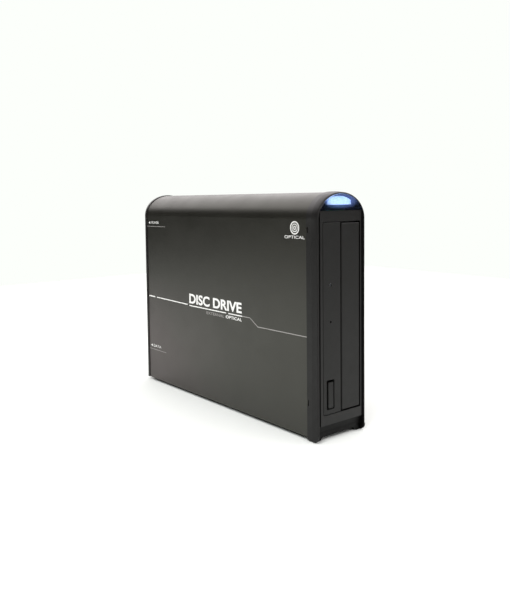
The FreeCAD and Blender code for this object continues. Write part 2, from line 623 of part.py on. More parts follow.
def loading_gears():
    """Rack gear, belt pulley with its pinion, motor pulley and belt."""
    upper = polygon(gear_outline(RACK_TEETH_GEAR, RACK_MODULE, RACK_GEAR_AT,
                                 math.pi / RACK_TEETH_GEAR), 21.4, 5.6)
    wheel = polygon(gear_outline(WHEEL_TEETH, TRAIN_MODULE, RACK_GEAR_AT, TRAIN_ANGLE), 17.5, 3.0)
    hub = rod((*RACK_GEAR_AT, 10.7), 4.0, 12.0, (0, 0, 1))
    gear = join(wheel, upper, hub)
    for k in range(6):
        a = math.radians(60 * k)
        x, y = RACK_GEAR_AT[0] + 12.6 * math.cos(a), RACK_GEAR_AT[1] + 12.6 * math.sin(a)
        gear = gear.cut(rod((x, y, 17), 1.7, 4.2, (0, 0, 1)))
    keep("rack_gear", seat(gear.cut(rod((*RACK_GEAR_AT, 5), 2.06, 30, (0, 0, 1)))))

    pinion = polygon(gear_outline(PINION_TEETH, TRAIN_MODULE, PULLEY_AT,
                                  TRAIN_ANGLE + math.pi + math.pi / PINION_TEETH), 16.6, 4.4)
    wheel = rod((*PULLEY_AT, 12.5), 13.6, 4.1, (0, 0, 1))
    groove = rod((*PULLEY_AT, BELT_Z - 0.8), 20, 1.6, (0, 0, 1))
    groove = groove.cut(rod((*PULLEY_AT, BELT_Z - 1), PULLEY_GROOVE_R, 2, (0, 0, 1)))
    pulley = join(pinion, wheel.cut(groove), rod((*PULLEY_AT, 10.7), 3.0, 3, (0, 0, 1)))
    for k in range(5):
        a = math.radians(72 * k)
        x, y = PULLEY_AT[0] + 8.4 * math.cos(a), PULLEY_AT[1] + 8.4 * math.sin(a)
        pulley = pulley.cut(rod((x, y, 12), 2.2, 4.55, (0, 0, 1)))
    keep("pulley_gear", seat(pulley.cut(rod((*PULLEY_AT, 5), 1.56, 30, (0, 0, 1)))))

    wheel = rod((*MOTOR_AT, 12.2), 4.2, 4.6, (0, 0, 1))
    groove = rod((*MOTOR_AT, BELT_Z - 0.8), 9, 1.6, (0, 0, 1))
    groove = groove.cut(rod((*MOTOR_AT, BELT_Z - 1), MOTOR_GROOVE_R, 2, (0, 0, 1)))
    pulley = wheel.cut(groove).cut(rod((*MOTOR_AT, 10), 1.02, 10, (0, 0, 1)))
    keep("motor_pulley", seat(pulley))

    can = rod((*MOTOR_AT, 1.4), 9.5, DECK_Z[0] - 1.4, (0, 0, 1))
    nose = rod((*MOTOR_AT, DECK_Z[0] - 0.1), 3.0, 1.6, (0, 0, 1))
    keep("loading_motor", seat(join(can, nose, rod((*MOTOR_AT, 8), 0.97, 8.6, (0, 0, 1)))))
    keep("drive_belt", seat(belt_band(BELT_CLEAR + BELT_T).cut(belt_band(BELT_CLEAR, extra=1))))


def belt_band(offset, extra=0.0):
    """The convex band round both pulleys, offset from their grooves."""
    r1, r2 = PULLEY_GROOVE_R + offset, MOTOR_GROOVE_R + offset
    a, b = Vector(*PULLEY_AT, 0), Vector(*MOTOR_AT, 0)
    along = math.atan2(b.y - a.y, b.x - a.x)
    lean = math.acos((r1 - r2) / (b - a).Length)

    def at(centre, radius, angle):
        return centre + Vector(radius * math.cos(angle), radius * math.sin(angle), 0)

    edges = [
        Part.makeLine(at(a, r1, along + lean), at(b, r2, along + lean)),
        Part.Arc(at(b, r2, along + lean), at(b, r2, along), at(b, r2, along - lean)).toShape(),
        Part.makeLine(at(b, r2, along - lean), at(a, r1, along - lean)),
        Part.Arc(at(a, r1, along - lean), at(a, r1, along + math.pi), at(a, r1, along + lean)).toShape(),
    ]
    band = Part.Face(Part.Wire(edges)).extrude(Vector(0, 0, BELT_T + 2 * extra))
    band.translate(Vector(0, 0, BELT_Z - BELT_T / 2 - extra))
    return band


def cam_slider():
    """Sliding cam plate with two slanting slots that lower the traverse's front pins."""
    top, low = CAM_PIN_Z + 4.6, CAM_LOW
    plate = block((-36, 40), CAM_Y, (low, top))
    half = CAM_PIN_R + 0.25
    for x in CAM_PINS_X:
        for dx, dz in ((0, 0), (-CAM_TRAVEL, -CAM_DROP)):
            plate = plate.cut(rod((x + dx, 40, CAM_PIN_Z + dz), half, 5, (0, 1, 0)))
        slope = math.hypot(CAM_TRAVEL, CAM_DROP)
        nx, nz = -CAM_DROP / slope * half, CAM_TRAVEL / slope * half
        ends = ((x, CAM_PIN_Z), (x - CAM_TRAVEL, CAM_PIN_Z - CAM_DROP))
        outline = [
            (ends[0][0] + nx, ends[0][1] + nz),
            (ends[1][0] + nx, ends[1][1] + nz),
            (ends[1][0] - nx, ends[1][1] - nz),
            (ends[0][0] - nx, ends[0][1] - nz),
        ]
        plate = plate.cut(prism(outline, 40, 5))
    rail = block((-36, 40), (CAM_Y[0] - 2.0, CAM_Y[0]), (low, low + 1.4))
    keep("cam_slider", seat(join(plate, rail)))


# ---- traverse ----------------------------------------------------------------------------
def traverse():
    """Tilting frame with its pivots, cam pins, rods and both motors."""
    plate = block((-FRAME_X, FRAME_X), FRAME_Y, FRAME_Z)
    plate = plate.makeFillet(3.0, [e for e in plate.Edges if e.BoundBox.ZLength > 2.9])
    plate = plate.cut(block((-26.6, 26.6), (85, 144), (10, 20)))
    plate = plate.cut(rod((0, SPINDLE_Y, 10), 9.0, 10, (0, 0, 1)))
    plate = plate.cut(block((24.5, 40), (64.5, 76.5), (10, 20)))
    for x, y in ((-30, 55), (30, 55), (-31, 120)):
        plate = plate.cut(rod((x, y, 10), 3.4, 10, (0, 0, 1)))
    ends = (ROD_Y[0] - 0.5, ROD_Y[1] - 3.5)
    for side in (-1, 1):
        pin = rod((side * (FRAME_X - 2), HINGE_Y, HINGE_Z), 1.45, 11.0, (side, 0, 0))
        posts = [block((side * ROD_X - 3, side * ROD_X + 3), (y, y + 4.0), (FRAME_Z[1] - 0.5, 22.2))
                 for y in ends]
        plate = join(plate, pin, *posts)
    for x in CAM_PINS_X:
        plate = join(plate, rod((x, FRAME_Y[0] + 1, CAM_PIN_Z), CAM_PIN_R, 6.2, (0, -1, 0)))
    nut = block((SCREW_X - 3, SCREW_X + 3), (144.4, 148.0), (FRAME_Z[1] - 0.5, 22.5))
    plate = join(plate, nut.cut(rod((SCREW_X, 140, ROD_Z), SCREW_R * 0.6 + 0.06, 20, (0, 1, 0))))
    rods = [rod((side * ROD_X, ROD_Y[0], ROD_Z), ROD_R, ROD_Y[1] - ROD_Y[0] - 0.5, (0, 1, 0))
            for side in (-1, 1)]
    for r in rods:
        plate = plate.cut(r)
    keep("traverse_frame", seat(plate))
    keep("guide_rods", seat(group(rods)))

    base = join(rod((0, SPINDLE_Y, FRAME_Z[0] - 1.3), 14.0, 1.3, (0, 0, 1)),
                rod((0, SPINDLE_Y, FRAME_Z[0] - 1.3), 8.9, 4.6, (0, 0, 1)))
    shaft = rod((0, SPINDLE_Y, FRAME_Z[0]), 1.5, 18.5, (0, 0, 1))
    keep("spindle_motor", seat(join(base, shaft)))
    skirt = rod((0, SPINDLE_Y, 17.2), 12.0, 6.4, (0, 0, 1))
    table = rod((0, SPINDLE_Y, 23.4), 14.2, 6.6, (0, 0, 1)).cut(
        rod((0, SPINDLE_Y, 24.8), 16, 3.6, (0, 0, 1)).cut(rod((0, SPINDLE_Y, 24), 12.6, 6, (0, 0, 1))))
    cone = Part.makeCone(7.4, 5.6, 2.6, Vector(0, SPINDLE_Y, 30.8))
    seat_ring = rod((0, SPINDLE_Y, 29.9), 8.6, 1.0, (0, 0, 1))
    hub = join(skirt, table, seat_ring, cone).cut(rod((0, SPINDLE_Y, 10), 1.55, 22.1, (0, 0, 1)))
    bell = rod((0, SPINDLE_Y, 17.0), 10.6, 4.8, (0, 0, 1))
    hub = hub.cut(bell.cut(rod((0, SPINDLE_Y, 16), 3, 8, (0, 0, 1))))
    keep("turntable", seat(hub))
    pad = rod((0, SPINDLE_Y, 30.0), 13.8, 0.8, (0, 0, 1)).cut(rod((0, SPINDLE_Y, 29), 9.6, 3, (0, 0, 1)))
    keep("turntable_pad", seat(pad))

    motor = rod((SCREW_X, 65.5, ROD_Z), 5.0, 10.0, (0, 1, 0))
    flange = block((SCREW_X - 5.8, SCREW_X + 5.8), (75.5, 76.5), (14.6, 24.4))
    keep("sled_motor", seat(join(motor, flange).cut(rod((SCREW_X, 70, ROD_Z), 1.0, 10, (0, 1, 0)))))
    shaft = rod((SCREW_X, 73.0, ROD_Z), SCREW_R * 0.6, 74.0, (0, 1, 0))
    land, start = SCREW_PITCH / 2, 78.0
    turns = [Part.makeCone(SCREW_R, SCREW_R * 0.62, 0.7,
                           Vector(SCREW_X, start + land + k * SCREW_PITCH, ROD_Z), Vector(0, 1, 0))
             for k in range(SCREW_TURNS)]
    worms = [rod((SCREW_X, start + k * SCREW_PITCH, ROD_Z), SCREW_R, land, (0, 1, 0))
             for k in range(SCREW_TURNS)]
    keep("lead_screw", seat(join(shaft, *worms, *turns)))
    rings = []
    for side in (-1, 1):
        ring = rod((side * 42.5, HINGE_Y, HINGE_Z), 3.6, 3.5, (side, 0, 0))
        rings.append(ring.cut(rod((side * 40, HINGE_Y, HINGE_Z), 1.5, 9, (side, 0, 0))))
    keep("pivot_grommets", seat(group(rings)))


def pickup():
    """Sliding optical pickup with its half-nut arm, cover, lens carrier and lens."""
    body = block((-25.5, 25.5), PICKUP_Y, (15.6, 22.8))
    body = body.makeFillet(2.0, [e for e in body.Edges if e.BoundBox.ZLength > 7])
    for side in (-1, 1):
        body = body.cut(rod((side * ROD_X, 80, ROD_Z), ROD_R + 0.06, 40, (0, 1, 0)))
    body = body.cut(block((-9.0, 9.0), (LENS_Y - 8, LENS_Y + 8), (20.2, 25)))
    arm = block((24.5, SCREW_X - SCREW_R - 0.2), (LENS_Y - 3, LENS_Y + 6), (17.4, 21.6))
    keep("pickup_body", seat(join(body, arm)))
    cover = block((-12, 12), (LENS_Y - 9.5, LENS_Y + 10.5), (22.8, 26.6))
    cover = cover.cut(block((-9.0, 9.0), (LENS_Y - 8.2, LENS_Y + 8.2), (20, 30)))
    cover = cover.cut(block((-4.5, 4.5), (LENS_Y + 5, LENS_Y + 12), (24.8, 30)))
    keep("pickup_cover", seat(cover))
    carrier = block((-7.6, 7.6), (LENS_Y - 6.4, LENS_Y + 6.4), (22.0, 26.0))
    carrier = join(carrier, rod((0, LENS_Y, 25.5), 3.6, 1.9, (0, 0, 1)))
    carrier = carrier.cut(rod((0, LENS_Y, 26.2), 2.3, 5, (0, 0, 1)))
    keep("lens_carrier", seat(carrier))
    lens = rod((0, LENS_Y, 26.2), 2.3, 1.0, (0, 0, 1))
    dome = Part.makeSphere(3.6, Vector(0, LENS_Y, 24.4)).common(rod((0, LENS_Y, 26.9), 2.2, 3, (0, 0, 1)))
    keep("objective_lens", seat(join(lens, dome)))


# ---- drive electronics -------------------------------------------------------------------
def drive_boards():
    """Main board with chips and rear sockets, front board with switch and lamp, and the button."""
    board = block((-70, 70), (62, 168), (2.0, 3.6))
    keep("drive_board", seat(board))
    chips = []
    for x, y, sx, sy, sz in ((-38, 96, 20, 20, 1.4), (12, 92, 14, 14, 1.2), (40, 120, 16, 9, 1.2),
                             (-10, 126, 10, 6, 1.1), (-48, 134, 9, 12, 1.6), (44, 86, 8, 8, 1.6),
                             (16, 138, 12, 8, 1.1)):
        chips.append(block((x - sx / 2, x + sx / 2), (y - sy / 2, y + sy / 2), (3.6, 3.6 + sz)))
    keep("drive_chips", seat(group(chips)))
    data = block((-24, -10), (158, 170.8), (3.6, 10.2)).cut(
        block((-22.2, -11.8), (164, 172), (5.2, 8.6)).cut(block((-21, -13), (160, 172), (6.3, 7.4))))
    power = block((-6, 24), (158, 170.8), (3.6, 10.2)).cut(
        block((-4.2, 22.2), (164, 172), (5.2, 8.6)).cut(block((-3, 21), (160, 172), (6.3, 7.4))))
    keep("drive_sockets", seat(group([data, power])))

    keep("front_board", seat(block((-32, 72), (9.5, 11.1), (2.0, 11.6))))
    bx, bz = sum(BUTTON_X) / 2, sum(BUTTON_Z) / 2
    body = block((bx - 3, bx + 3), (7.2, 9.5), (bz - 2.4, bz + 2.6))
    keep("eject_switch", seat(join(body, rod((bx, 6.7, bz), 1.3, 1, (0, 1, 0)))))
    lamp = join(rod((LED_AT[0], 0.6, LED_AT[1]), 1.0, 6.0, (0, 1, 0)),
                rod((LED_AT[0], 6.4, LED_AT[1]), 1.5, 3.1, (0, 1, 0)))
    keep("activity_led", seat(lamp))
    cap = rounded(BUTTON_X, BUTTON_Z, 0.8, 0.3, 3.2)
    cap = cap.makeFillet(0.5, [e for e in cap.Edges if e.BoundBox.YMax < 0.31])
    stem = rod((bx, 2.8, bz), 1.6, 2.6, (0, 1, 0))
    (hole_x, hole_z), skirt = BUTTON_HOLE, 0.6
    stop = block((hole_x[0] - skirt, hole_x[1] + skirt), (BEZEL_T + 0.15, BEZEL_T + 0.6),
                 (hole_z[0] - skirt, hole_z[1] + skirt))
    keep("eject_button", seat(join(cap, stem, stop)))


# ---- chassis and rear bay ----------------------------------------------------------------
def inner_chassis():
    """Folded steel chassis: base plate in the sleeve's grooves, flanges along the drive."""
    plate = block(CHASSIS_X, CHASSIS_Y, CHASSIS_Z)
    low = SEAT.z - BODY_X - 0.1
    high = SEAT.z + BODY_X + 0.1
    flange_y = (FRONT_Y + 22, FRONT_Y + 168)
    for z in ((low - 1.0, low), (high, high + 1.0)):
        flange = block((CHASSIS_X[0], -3.5), flange_y, z)
        for y in SIDE_HOLES_Y:
            flange = flange.cut(rod((SEAT.x + SIDE_HOLE_Z, SEAT.y + y, z[0] - 1), 1.6, 3, (0, 0, 1)))
        plate = join(plate, flange)
    for y in (-70, -25, 20):
        for z in (55, 92.7, 130):
            plate = plate.cut(rounded_slot_x(y, z))
    for y, z in standoffs():
        plate = plate.cut(rod((CHASSIS_X[0] - 1, y, z), 1.6, 3, (1, 0, 0)))
    keep("inner_chassis", plate)
    screws = []
    for y in SIDE_HOLES_Y:
        for z, way in ((low - 1.0, 1), (high + 1.0, -1)):
            at = (SEAT.x + SIDE_HOLE_Z, SEAT.y + y, z)
            shank = rod((at[0], at[1], z - way * 0.2), 1.5, 2.1, (0, 0, way))
            head = rod((at[0], at[1], z - way * 1.8), 2.8, 1.8, (0, 0, way))
            screws.append(cross_slot(join(head, shank), (at[0], at[1], z - way * 1.8), (0, 0, way)))
    keep("drive_screws", group(screws))


def rounded_slot_x(y, z):
    """A lightening slot through the chassis plate, along X."""
    slot = block((CHASSIS_X[0] - 1, CHASSIS_X[1] + 1), (y - 12, y + 12), (z - 8, z + 8))
    return slot.makeFillet(4.0, [e for e in slot.Edges if e.BoundBox.XLength > 1])


def standoffs():
    """Where the bridge board's pillars stand, as (y, z)."""
    return [(y, z) for y in (BOARD_Y[0] + 5, BOARD_Y[1] - 10) for z in (BOARD_Z[0] + 26, BOARD_Z[1] - 12)]


def bridge_board():
    """Board behind the drive with its pillars, screws, chips and sockets."""
    board = block(BOARD_X, BOARD_Y, BOARD_Z)
    for y, z in standoffs():
        board = board.cut(rod((BOARD_X[0] - 1, y, z), 1.6, 4, (1, 0, 0)))
    keep("bridge_board", board)
    pillars, screws = [], []
    for y, z in standoffs():
        pillar = rod((CHASSIS_X[1], y, z), 2.6, BOARD_X[0] - CHASSIS_X[1], (1, 0, 0))
        pillars.append(pillar.cut(rod((CHASSIS_X[1] - 1, y, z), 1.3, 9, (1, 0, 0))))
        screws.append(join(rod((BOARD_X[1], y, z), 2.7, 1.6, (1, 0, 0)),
                           rod((BOARD_X[1] - 3.6, y, z), 1.25, 4, (1, 0, 0))))
    keep("board_pillars", group(pillars))
    keep("board_screws", group(screws))
    face = BOARD_X[1]
    parts = []
    for y, z, sy, sz, sx in ((77, 84, 14, 14, 1.6), (96, 108, 6, 10, 1.2), (76, 122, 10, 8, 3.2),
                             (104, 101, 5, 6, 1.4), (90, 60, 4, 3, 1.2), (76, 64, 6, 5, 1.0)):
        parts.append(block((face, face + sx), (y - sy / 2, y + sy / 2), (z - sz / 2, z + sz / 2)))
    cans = ((100, 122, 4.0, 10.0), (89, 128, 4.0, 10.0), (104, 63, 2.5, 6.5), (86, 46, 2.2, 3.4))
    for y, z, r, h in cans:
        parts.append(rod((face, y, z), r, h, (1, 0, 0)))
    keep("bridge_chips", group(parts))

    shell = block((face, face + 11.0), (106.5, SOCKET_Y), (USB_Z - 6.0, USB_Z + 6.0))
    cavity = block((face + 1.2, face + 9.6), (109.0, REAR_Y), (USB_Z - 4.4, USB_Z + 4.4))
    corner = [e for e in cavity.Edges if e.BoundBox.YLength > 5 and e.BoundBox.XMin > face + 9]
    shell = shell.cut(cavity.makeChamfer(1.7, corner))
    tongue = block((face + 3.9, face + 6.9), (109.0, REAR_Y - 2.6), (USB_Z - 2.9, USB_Z + 2.9))
    keep("usb_port", shell)
    keep("usb_tongue", tongue)
    half, floor_y = 4.6, 110.5
    jack = block((face, face + 11.4), (floor_y - 2.0, SEAM_REAR + 1.0), (JACK_Z - half, JACK_Z + half))
    jack = join(jack, rod((JACK_X, SEAM_REAR, JACK_Z), half, SOCKET_Y - SEAM_REAR, (0, 1, 0)))
    jack = jack.cut(rod((JACK_X, floor_y, JACK_Z), JACK_HOLE_R, 20, (0, 1, 0)))
    keep("power_jack", jack)
    keep("jack_pin", rod((JACK_X, floor_y, JACK_Z), JACK_PIN_R, SOCKET_Y - 1.6 - floor_y, (0, 1, 0)))


def power_switch():
    """Rocker switch in the rear bezel: housing with its bezel flange, and the rocker."""
    z = (SWITCH_Z - 9.4, SWITCH_Z + 9.4)
    housing = block((-6.3, 6.3), (110.0, REAR_Y - 1.6), z)
    flange = block((-7.4, 7.4), (REAR_Y - 1.6, REAR_Y - 0.7), (z[0] - 1.2, z[1] + 1.2))
    body = join(housing, flange.makeFillet(1.0, [e for e in flange.Edges if e.BoundBox.YLength > 0.8]))
    well = block((-4.9, 4.9), (113.0, REAR_Y), (z[0] + 1.2, z[1] - 1.2))
    body = body.cut(well)
    pivot_y = REAR_Y - 5.6
    body = join(body, rod((-5.2, pivot_y, SWITCH_Z), 1.2, 10.4, (1, 0, 0)))
    for end in (-1, 1):
        tab = block(sorted_pair(end * 2.0, end * 2.8), (105.0, 110.2), (SWITCH_Z - 6, SWITCH_Z - 1))
        body = join(body, tab)
    keep("switch_housing", body)
    # rocker: two flats that meet at a shallow angle over the pivot, resting with its lower end in
    end_z, end_y, middle_y = 7.4, pivot_y + 4.6, pivot_y + 3.0
    outline = [(pivot_y - 3.2, -2.4), (pivot_y - 3.2, 2.4), (pivot_y + 0.4, end_z - 0.3),
               (end_y, end_z), (middle_y, 0.6), (middle_y, -0.6), (end_y, -end_z),
               (pivot_y + 0.4, 0.3 - end_z)]
    corners = [Vector(-4.6, y, SWITCH_Z + dz) for y, dz in outline]
    rocker = Part.Face(Part.makePolygon(corners + corners[:1])).extrude(Vector(9.2, 0, 0))
    rocker = rocker.cut(rod((-6, pivot_y, SWITCH_Z), 1.26, 12, (1, 0, 0)))
    rocker.rotate(Vector(0, pivot_y, SWITCH_Z), Vector(1, 0, 0), -ROCK_DEG / 2)
    keep("switch_rocker", rocker)


def sorted_pair(a, b):
    """Two numbers as (low, high)."""
    return (min(a, b), max(a, b))


def ribbon(edges, z, thickness):
    """A flat cable swept along a flat path in X and Y; z is its (low, high) width."""
    path = Part.Wire(edges)
    start = edges[0].Vertexes[0].Point
    half = thickness / 2
    section = Part.makePolygon([
        Vector(start.x - half, start.y, z[0]), Vector(start.x + half, start.y, z[0]),
        Vector(start.x + half, start.y, z[1]), Vector(start.x - half, start.y, z[1]),
        Vector(start.x - half, start.y, z[0]),
    ])
    return path.makePipeShell([section], True, False)


def cables():
    """Internal leads: data and power from the drive to the board, and the light's lead."""
    plug_y = SEAT.y + BODY_Y + 0.9
    x0 = SEAT.x + 6.9

    def looped(z, thickness, header_y):
        """Leaves the drive's plug, turns up and over, and comes down on the board's header."""
        level = plug_y + 10.0
        r1, r2 = 7.0, (header_y - (level + 7.0)) / 2
        top = x0 + r1 + 3.0
        edges = [
            Part.makeLine(Vector(x0, level - 2, 0), Vector(x0, level, 0)),
            Part.Arc(Vector(x0, level, 0),
                     Vector(x0 + r1 * 0.2929, level + r1 * 0.7071, 0),
                     Vector(x0 + r1, level + r1, 0)).toShape(),
            Part.makeLine(Vector(x0 + r1, level + r1, 0), Vector(top, level + r1, 0)),
            Part.Arc(Vector(top, level + r1, 0), Vector(top + r2, level + r1 + r2, 0),
                     Vector(top, header_y, 0)).toShape(),
            Part.makeLine(Vector(top, header_y, 0), Vector(BOARD_X[1] + 9.0, header_y, 0)),
        ]
        return ribbon(edges, z, thickness)

    data_z = (SEAT.z + 13.5, SEAT.z + 20.5)
    power_z = (SEAT.z - 21.0, SEAT.z + 3.0)
    plugs = []
    headers = []
    for span, half, y in ((data_z, 6.0, 83.0), (power_z, 13.5, 92.0)):
        z = sum(span) / 2
        plugs.append(block((x0 - 2.8, x0 + 2.8), (plug_y, plug_y + 8.0), (z - half, z + half)))
        headers.append(block((BOARD_X[1] + 0.02, BOARD_X[1] + 9.0), (y - 2.6, y + 2.6),
                             (z - half, z + half)))
    keep("data_cable", group([looped(data_z, 1.2, 83.0), plugs[0], headers[0]]))
    keep("power_cable", group([looped(power_z, 1.4, 92.0), plugs[1], headers[1]]))

    z, turn = 176.0, 9.0
    a = Vector(0, FRONT_Y + 10.2, z)
    b = Vector(0, 70.0 - turn, z)
    c = Vector(0, 70.0, z - turn)
    d = Vector(0, 70.0, 144.0)
    e = Vector(-6.0, 70.0, 138.0)
    f = Vector(BOARD_X[1] + 4.0, 70.0, 138.0)
    path = Part.Wire([
        Part.makeLine(a, b),
        Part.Arc(b, Vector(0, 70.0 - turn * 0.2929, z - turn * 0.2929), c).toShape(),
        Part.makeLine(c, d),
        Part.Arc(d, Vector(-6.0 * 0.2929, 70.0, 144.0 - 6.0 * 0.7071), e).toShape(),
        Part.makeLine(e, f),
    ])
    section = Part.Wire(Part.makeCircle(1.1, a, Vector(0, 1, 0)))
    lead = path.makePipeShell([section], True, False)
    header = block((BOARD_X[1], BOARD_X[1] + 4.0), (67.5, 72.5), (135.4, 140.6))
    keep("light_lead", group([lead, header]))


def main():
    os.makedirs("parts", exist_ok=True)
    for make in (case_sleeve, front_bezel, lens_light, rear_bezel, feet_and_screws, drive_bezel,
                 drive_shells, loader_frame, clamp, disc_tray, loading_gears, cam_slider, traverse,
                 pickup, drive_boards, inner_chassis, bridge_board, power_switch, cables):
        make()
    for name, shape in PARTS.items():
        solids = shape.Solids
        print(name, len(solids), "solid(s)", round(sum(s.Volume for s in solids), 1), "mm3",
              "valid" if shape.isValid() else "NOT VALID")
        shape.exportStep(f"parts/{name}.step")


main()
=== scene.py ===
import json
import math

import bmesh
import bpy
from mathutils import Matrix, Vector


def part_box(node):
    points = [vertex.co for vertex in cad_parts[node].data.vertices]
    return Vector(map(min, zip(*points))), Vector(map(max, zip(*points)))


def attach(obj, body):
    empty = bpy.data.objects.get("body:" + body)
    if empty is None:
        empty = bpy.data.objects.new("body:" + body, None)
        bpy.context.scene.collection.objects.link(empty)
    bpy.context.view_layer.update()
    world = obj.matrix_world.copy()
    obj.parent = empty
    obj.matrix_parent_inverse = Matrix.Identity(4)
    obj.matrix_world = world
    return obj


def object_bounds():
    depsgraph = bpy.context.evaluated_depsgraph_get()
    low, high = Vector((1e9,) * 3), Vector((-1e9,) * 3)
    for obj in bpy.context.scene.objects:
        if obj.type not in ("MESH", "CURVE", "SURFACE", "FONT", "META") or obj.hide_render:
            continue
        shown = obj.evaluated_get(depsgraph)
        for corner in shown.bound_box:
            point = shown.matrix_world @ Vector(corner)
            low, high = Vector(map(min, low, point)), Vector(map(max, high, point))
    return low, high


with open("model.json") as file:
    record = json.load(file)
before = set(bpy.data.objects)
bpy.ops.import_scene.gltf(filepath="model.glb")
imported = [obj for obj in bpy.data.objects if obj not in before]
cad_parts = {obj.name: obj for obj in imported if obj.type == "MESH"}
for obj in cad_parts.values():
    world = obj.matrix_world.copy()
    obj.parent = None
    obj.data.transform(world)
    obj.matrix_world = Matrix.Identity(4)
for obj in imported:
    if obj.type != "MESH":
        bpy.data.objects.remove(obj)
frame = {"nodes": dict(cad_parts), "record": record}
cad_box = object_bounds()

# External optical drive on its edge. Metres, +Z up, the front faces -Y.
MM = 0.001
ENCLOSURE = "enclosure"

SLEEVE_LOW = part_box("case_sleeve")[0]
LAMP_LOW, LAMP_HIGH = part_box("light_diffuser")
CHIN_TOP = 12.4 * MM                  # the front panel's lower edge
CHIN_HALF = 24.3 * MM                 # half the chin's width, between the rims
CHIN_BACK = (-110 * MM, -100 * MM)    # along Y, the chin's painted shade dies out between these
SHOULDER = (150 * MM, 172 * MM)       # the bezels get glossier from the first height to the second
PAINTED_REFLECTION_UP = (40 * MM, 110 * MM)         # the sleeve's painted mauve reflection of the floor dies out between these heights
PAINTED_REFLECTION_ALONG = (-20 * MM, 110 * MM)     # and along Y it grows to the rear between these


# ---- materials ---------------------------------------------------------------------------
class Graph:
    """The nodes of a material or of the world."""

    def __init__(self, tree):
        self.nodes = tree.nodes
        self.links = tree.links

    def node(self, kind, **settings):
        """A new node of this kind."""
        made = self.nodes.new("ShaderNode" + kind)
        for key, value in settings.items():
            setattr(made, key, value)
        return made

    def feed(self, node, socket, value):
        """A value or another node's output into a socket, given by its name or its number."""
        target = node.inputs[socket]
        if isinstance(value, bpy.types.NodeSocket):
            self.links.new(value, target)
        elif isinstance(value, tuple) and target.type == "RGBA":
            target.default_value = (*value, 1.0)
        else:
            target.default_value = value

    def spread(self, value, low, high, start=0.0, end=1.0, curve="LINEAR"):
        """Remaps start..end to low..high."""
        made = self.node("MapRange", interpolation_type=curve)
        self.feed(made, "Value", value)
        self.feed(made, "From Min", start)
        self.feed(made, "From Max", end)
        self.feed(made, "To Min", low)
        self.feed(made, "To Max", high)
        return made.outputs["Result"]

    def maths(self, operation, first, second=0.0):
        """Two numbers combined."""
        made = self.node("Math", operation=operation)
        self.feed(made, 0, first)
        self.feed(made, 1, second)
        return made.outputs["Value"]

    def dot(self, first, second):
        """How far two directions agree."""
        made = self.node("VectorMath", operation="DOT_PRODUCT")
        self.feed(made, 0, first)
        self.feed(made, 1, second)
        return made.outputs["Value"]

    def mixed(self, share, first, second):
        """Colour from first to second."""
        made = self.node("Mix", data_type="RGBA")
        colours = [i for i, socket in enumerate(made.inputs) if socket.type == "RGBA"]
        self.feed(made, 0, share)
        self.feed(made, colours[0], first)
        self.feed(made, colours[1], second)
        return next(socket for socket in made.outputs if socket.type == "RGBA")


class Finish(Graph):
    """One node material, built from patterns in the object's own space. Sizes are in millimetres."""

    def __init__(self, name):
        self.material = bpy.data.materials.new(name)
        self.material.use_nodes = True
        super().__init__(self.material.node_tree)
        self.shader = self.nodes["Principled BSDF"]
        self.place = self.node("TexCoord").outputs["Object"]
        self.height = None

    def put(self, socket, value):
        """A value or an output into the shader itself."""
        self.feed(self.shader, socket, value)

    def stretched(self, stretch):
        """Object coordinates, drawn out along the axes by these factors."""
        if stretch == (1, 1, 1):
            return self.place
        mapping = self.node("Mapping")
        self.feed(mapping, "Vector", self.place)
        self.feed(mapping, "Scale", [1.0 / s for s in stretch])
        return mapping.outputs["Vector"]

    def noise(self, size, detail=3.0, stretch=(1, 1, 1), roughness=0.55, distortion=0.0):
        """Cloudy values from 0 to 1, with lumps about this large."""
        made = self.node("TexNoise")
        self.feed(made, "Vector", self.stretched(stretch))
        self.feed(made, "Scale", 1.0 / (size * MM))
        self.feed(made, "Detail", detail)
        self.feed(made, "Roughness", roughness)
        self.feed(made, "Distortion", distortion)
        return made.outputs["Fac"]

    def cells(self, size, feature="F1", output="Distance", stretch=(1, 1, 1)):
        """Cell pattern with cells about this large."""
        made = self.node("TexVoronoi", feature=feature)
        self.feed(made, "Vector", self.stretched(stretch))
        self.feed(made, "Scale", 1.0 / (size * MM))
        return made.outputs[output]

    def axis(self, name):
        """The object coordinate along one axis, in metres."""
        made = self.node("SeparateXYZ")
        self.feed(made, "Vector", self.place)
        return made.outputs[name]

    def relief(self, height, depth, strength):
        """Adds bump of this depth, over what is there already."""
        made = self.node("Bump")
        self.feed(made, "Strength", strength)
        self.feed(made, "Distance", depth * MM)
        self.feed(made, "Height", height)
        if self.height is not None:
            self.feed(made, "Normal", self.height)
        self.height = made.outputs["Normal"]
        self.put("Normal", self.height)

    def edges(self, radius):
        """1 along the sharp edges, 0 on the flats."""
        bevel = self.node("Bevel", samples=4)
        self.feed(bevel, "Radius", radius * MM)
        flat = self.node("NewGeometry").outputs["Normal"]
        turned = self.maths("SUBTRACT", 1.0, self.dot(bevel.outputs["Normal"], flat))
        return self.spread(turned, 0.0, 1.0, 0.02, 0.25)


def scaled(colour, factor):
    """A colour made darker or lighter."""
    return tuple(min(1.0, c * factor) for c in colour)


def moulded(name, colour, roughness, grain=0.35, depth=0.02, worn=0.0, specular=0.5):
    """Moulded plastic: spark-eroded grain, slight shade drift, edges polished by handling."""
    made = Finish(name)
    grained(made, colour, roughness, grain, depth, worn, specular)
    return made.material


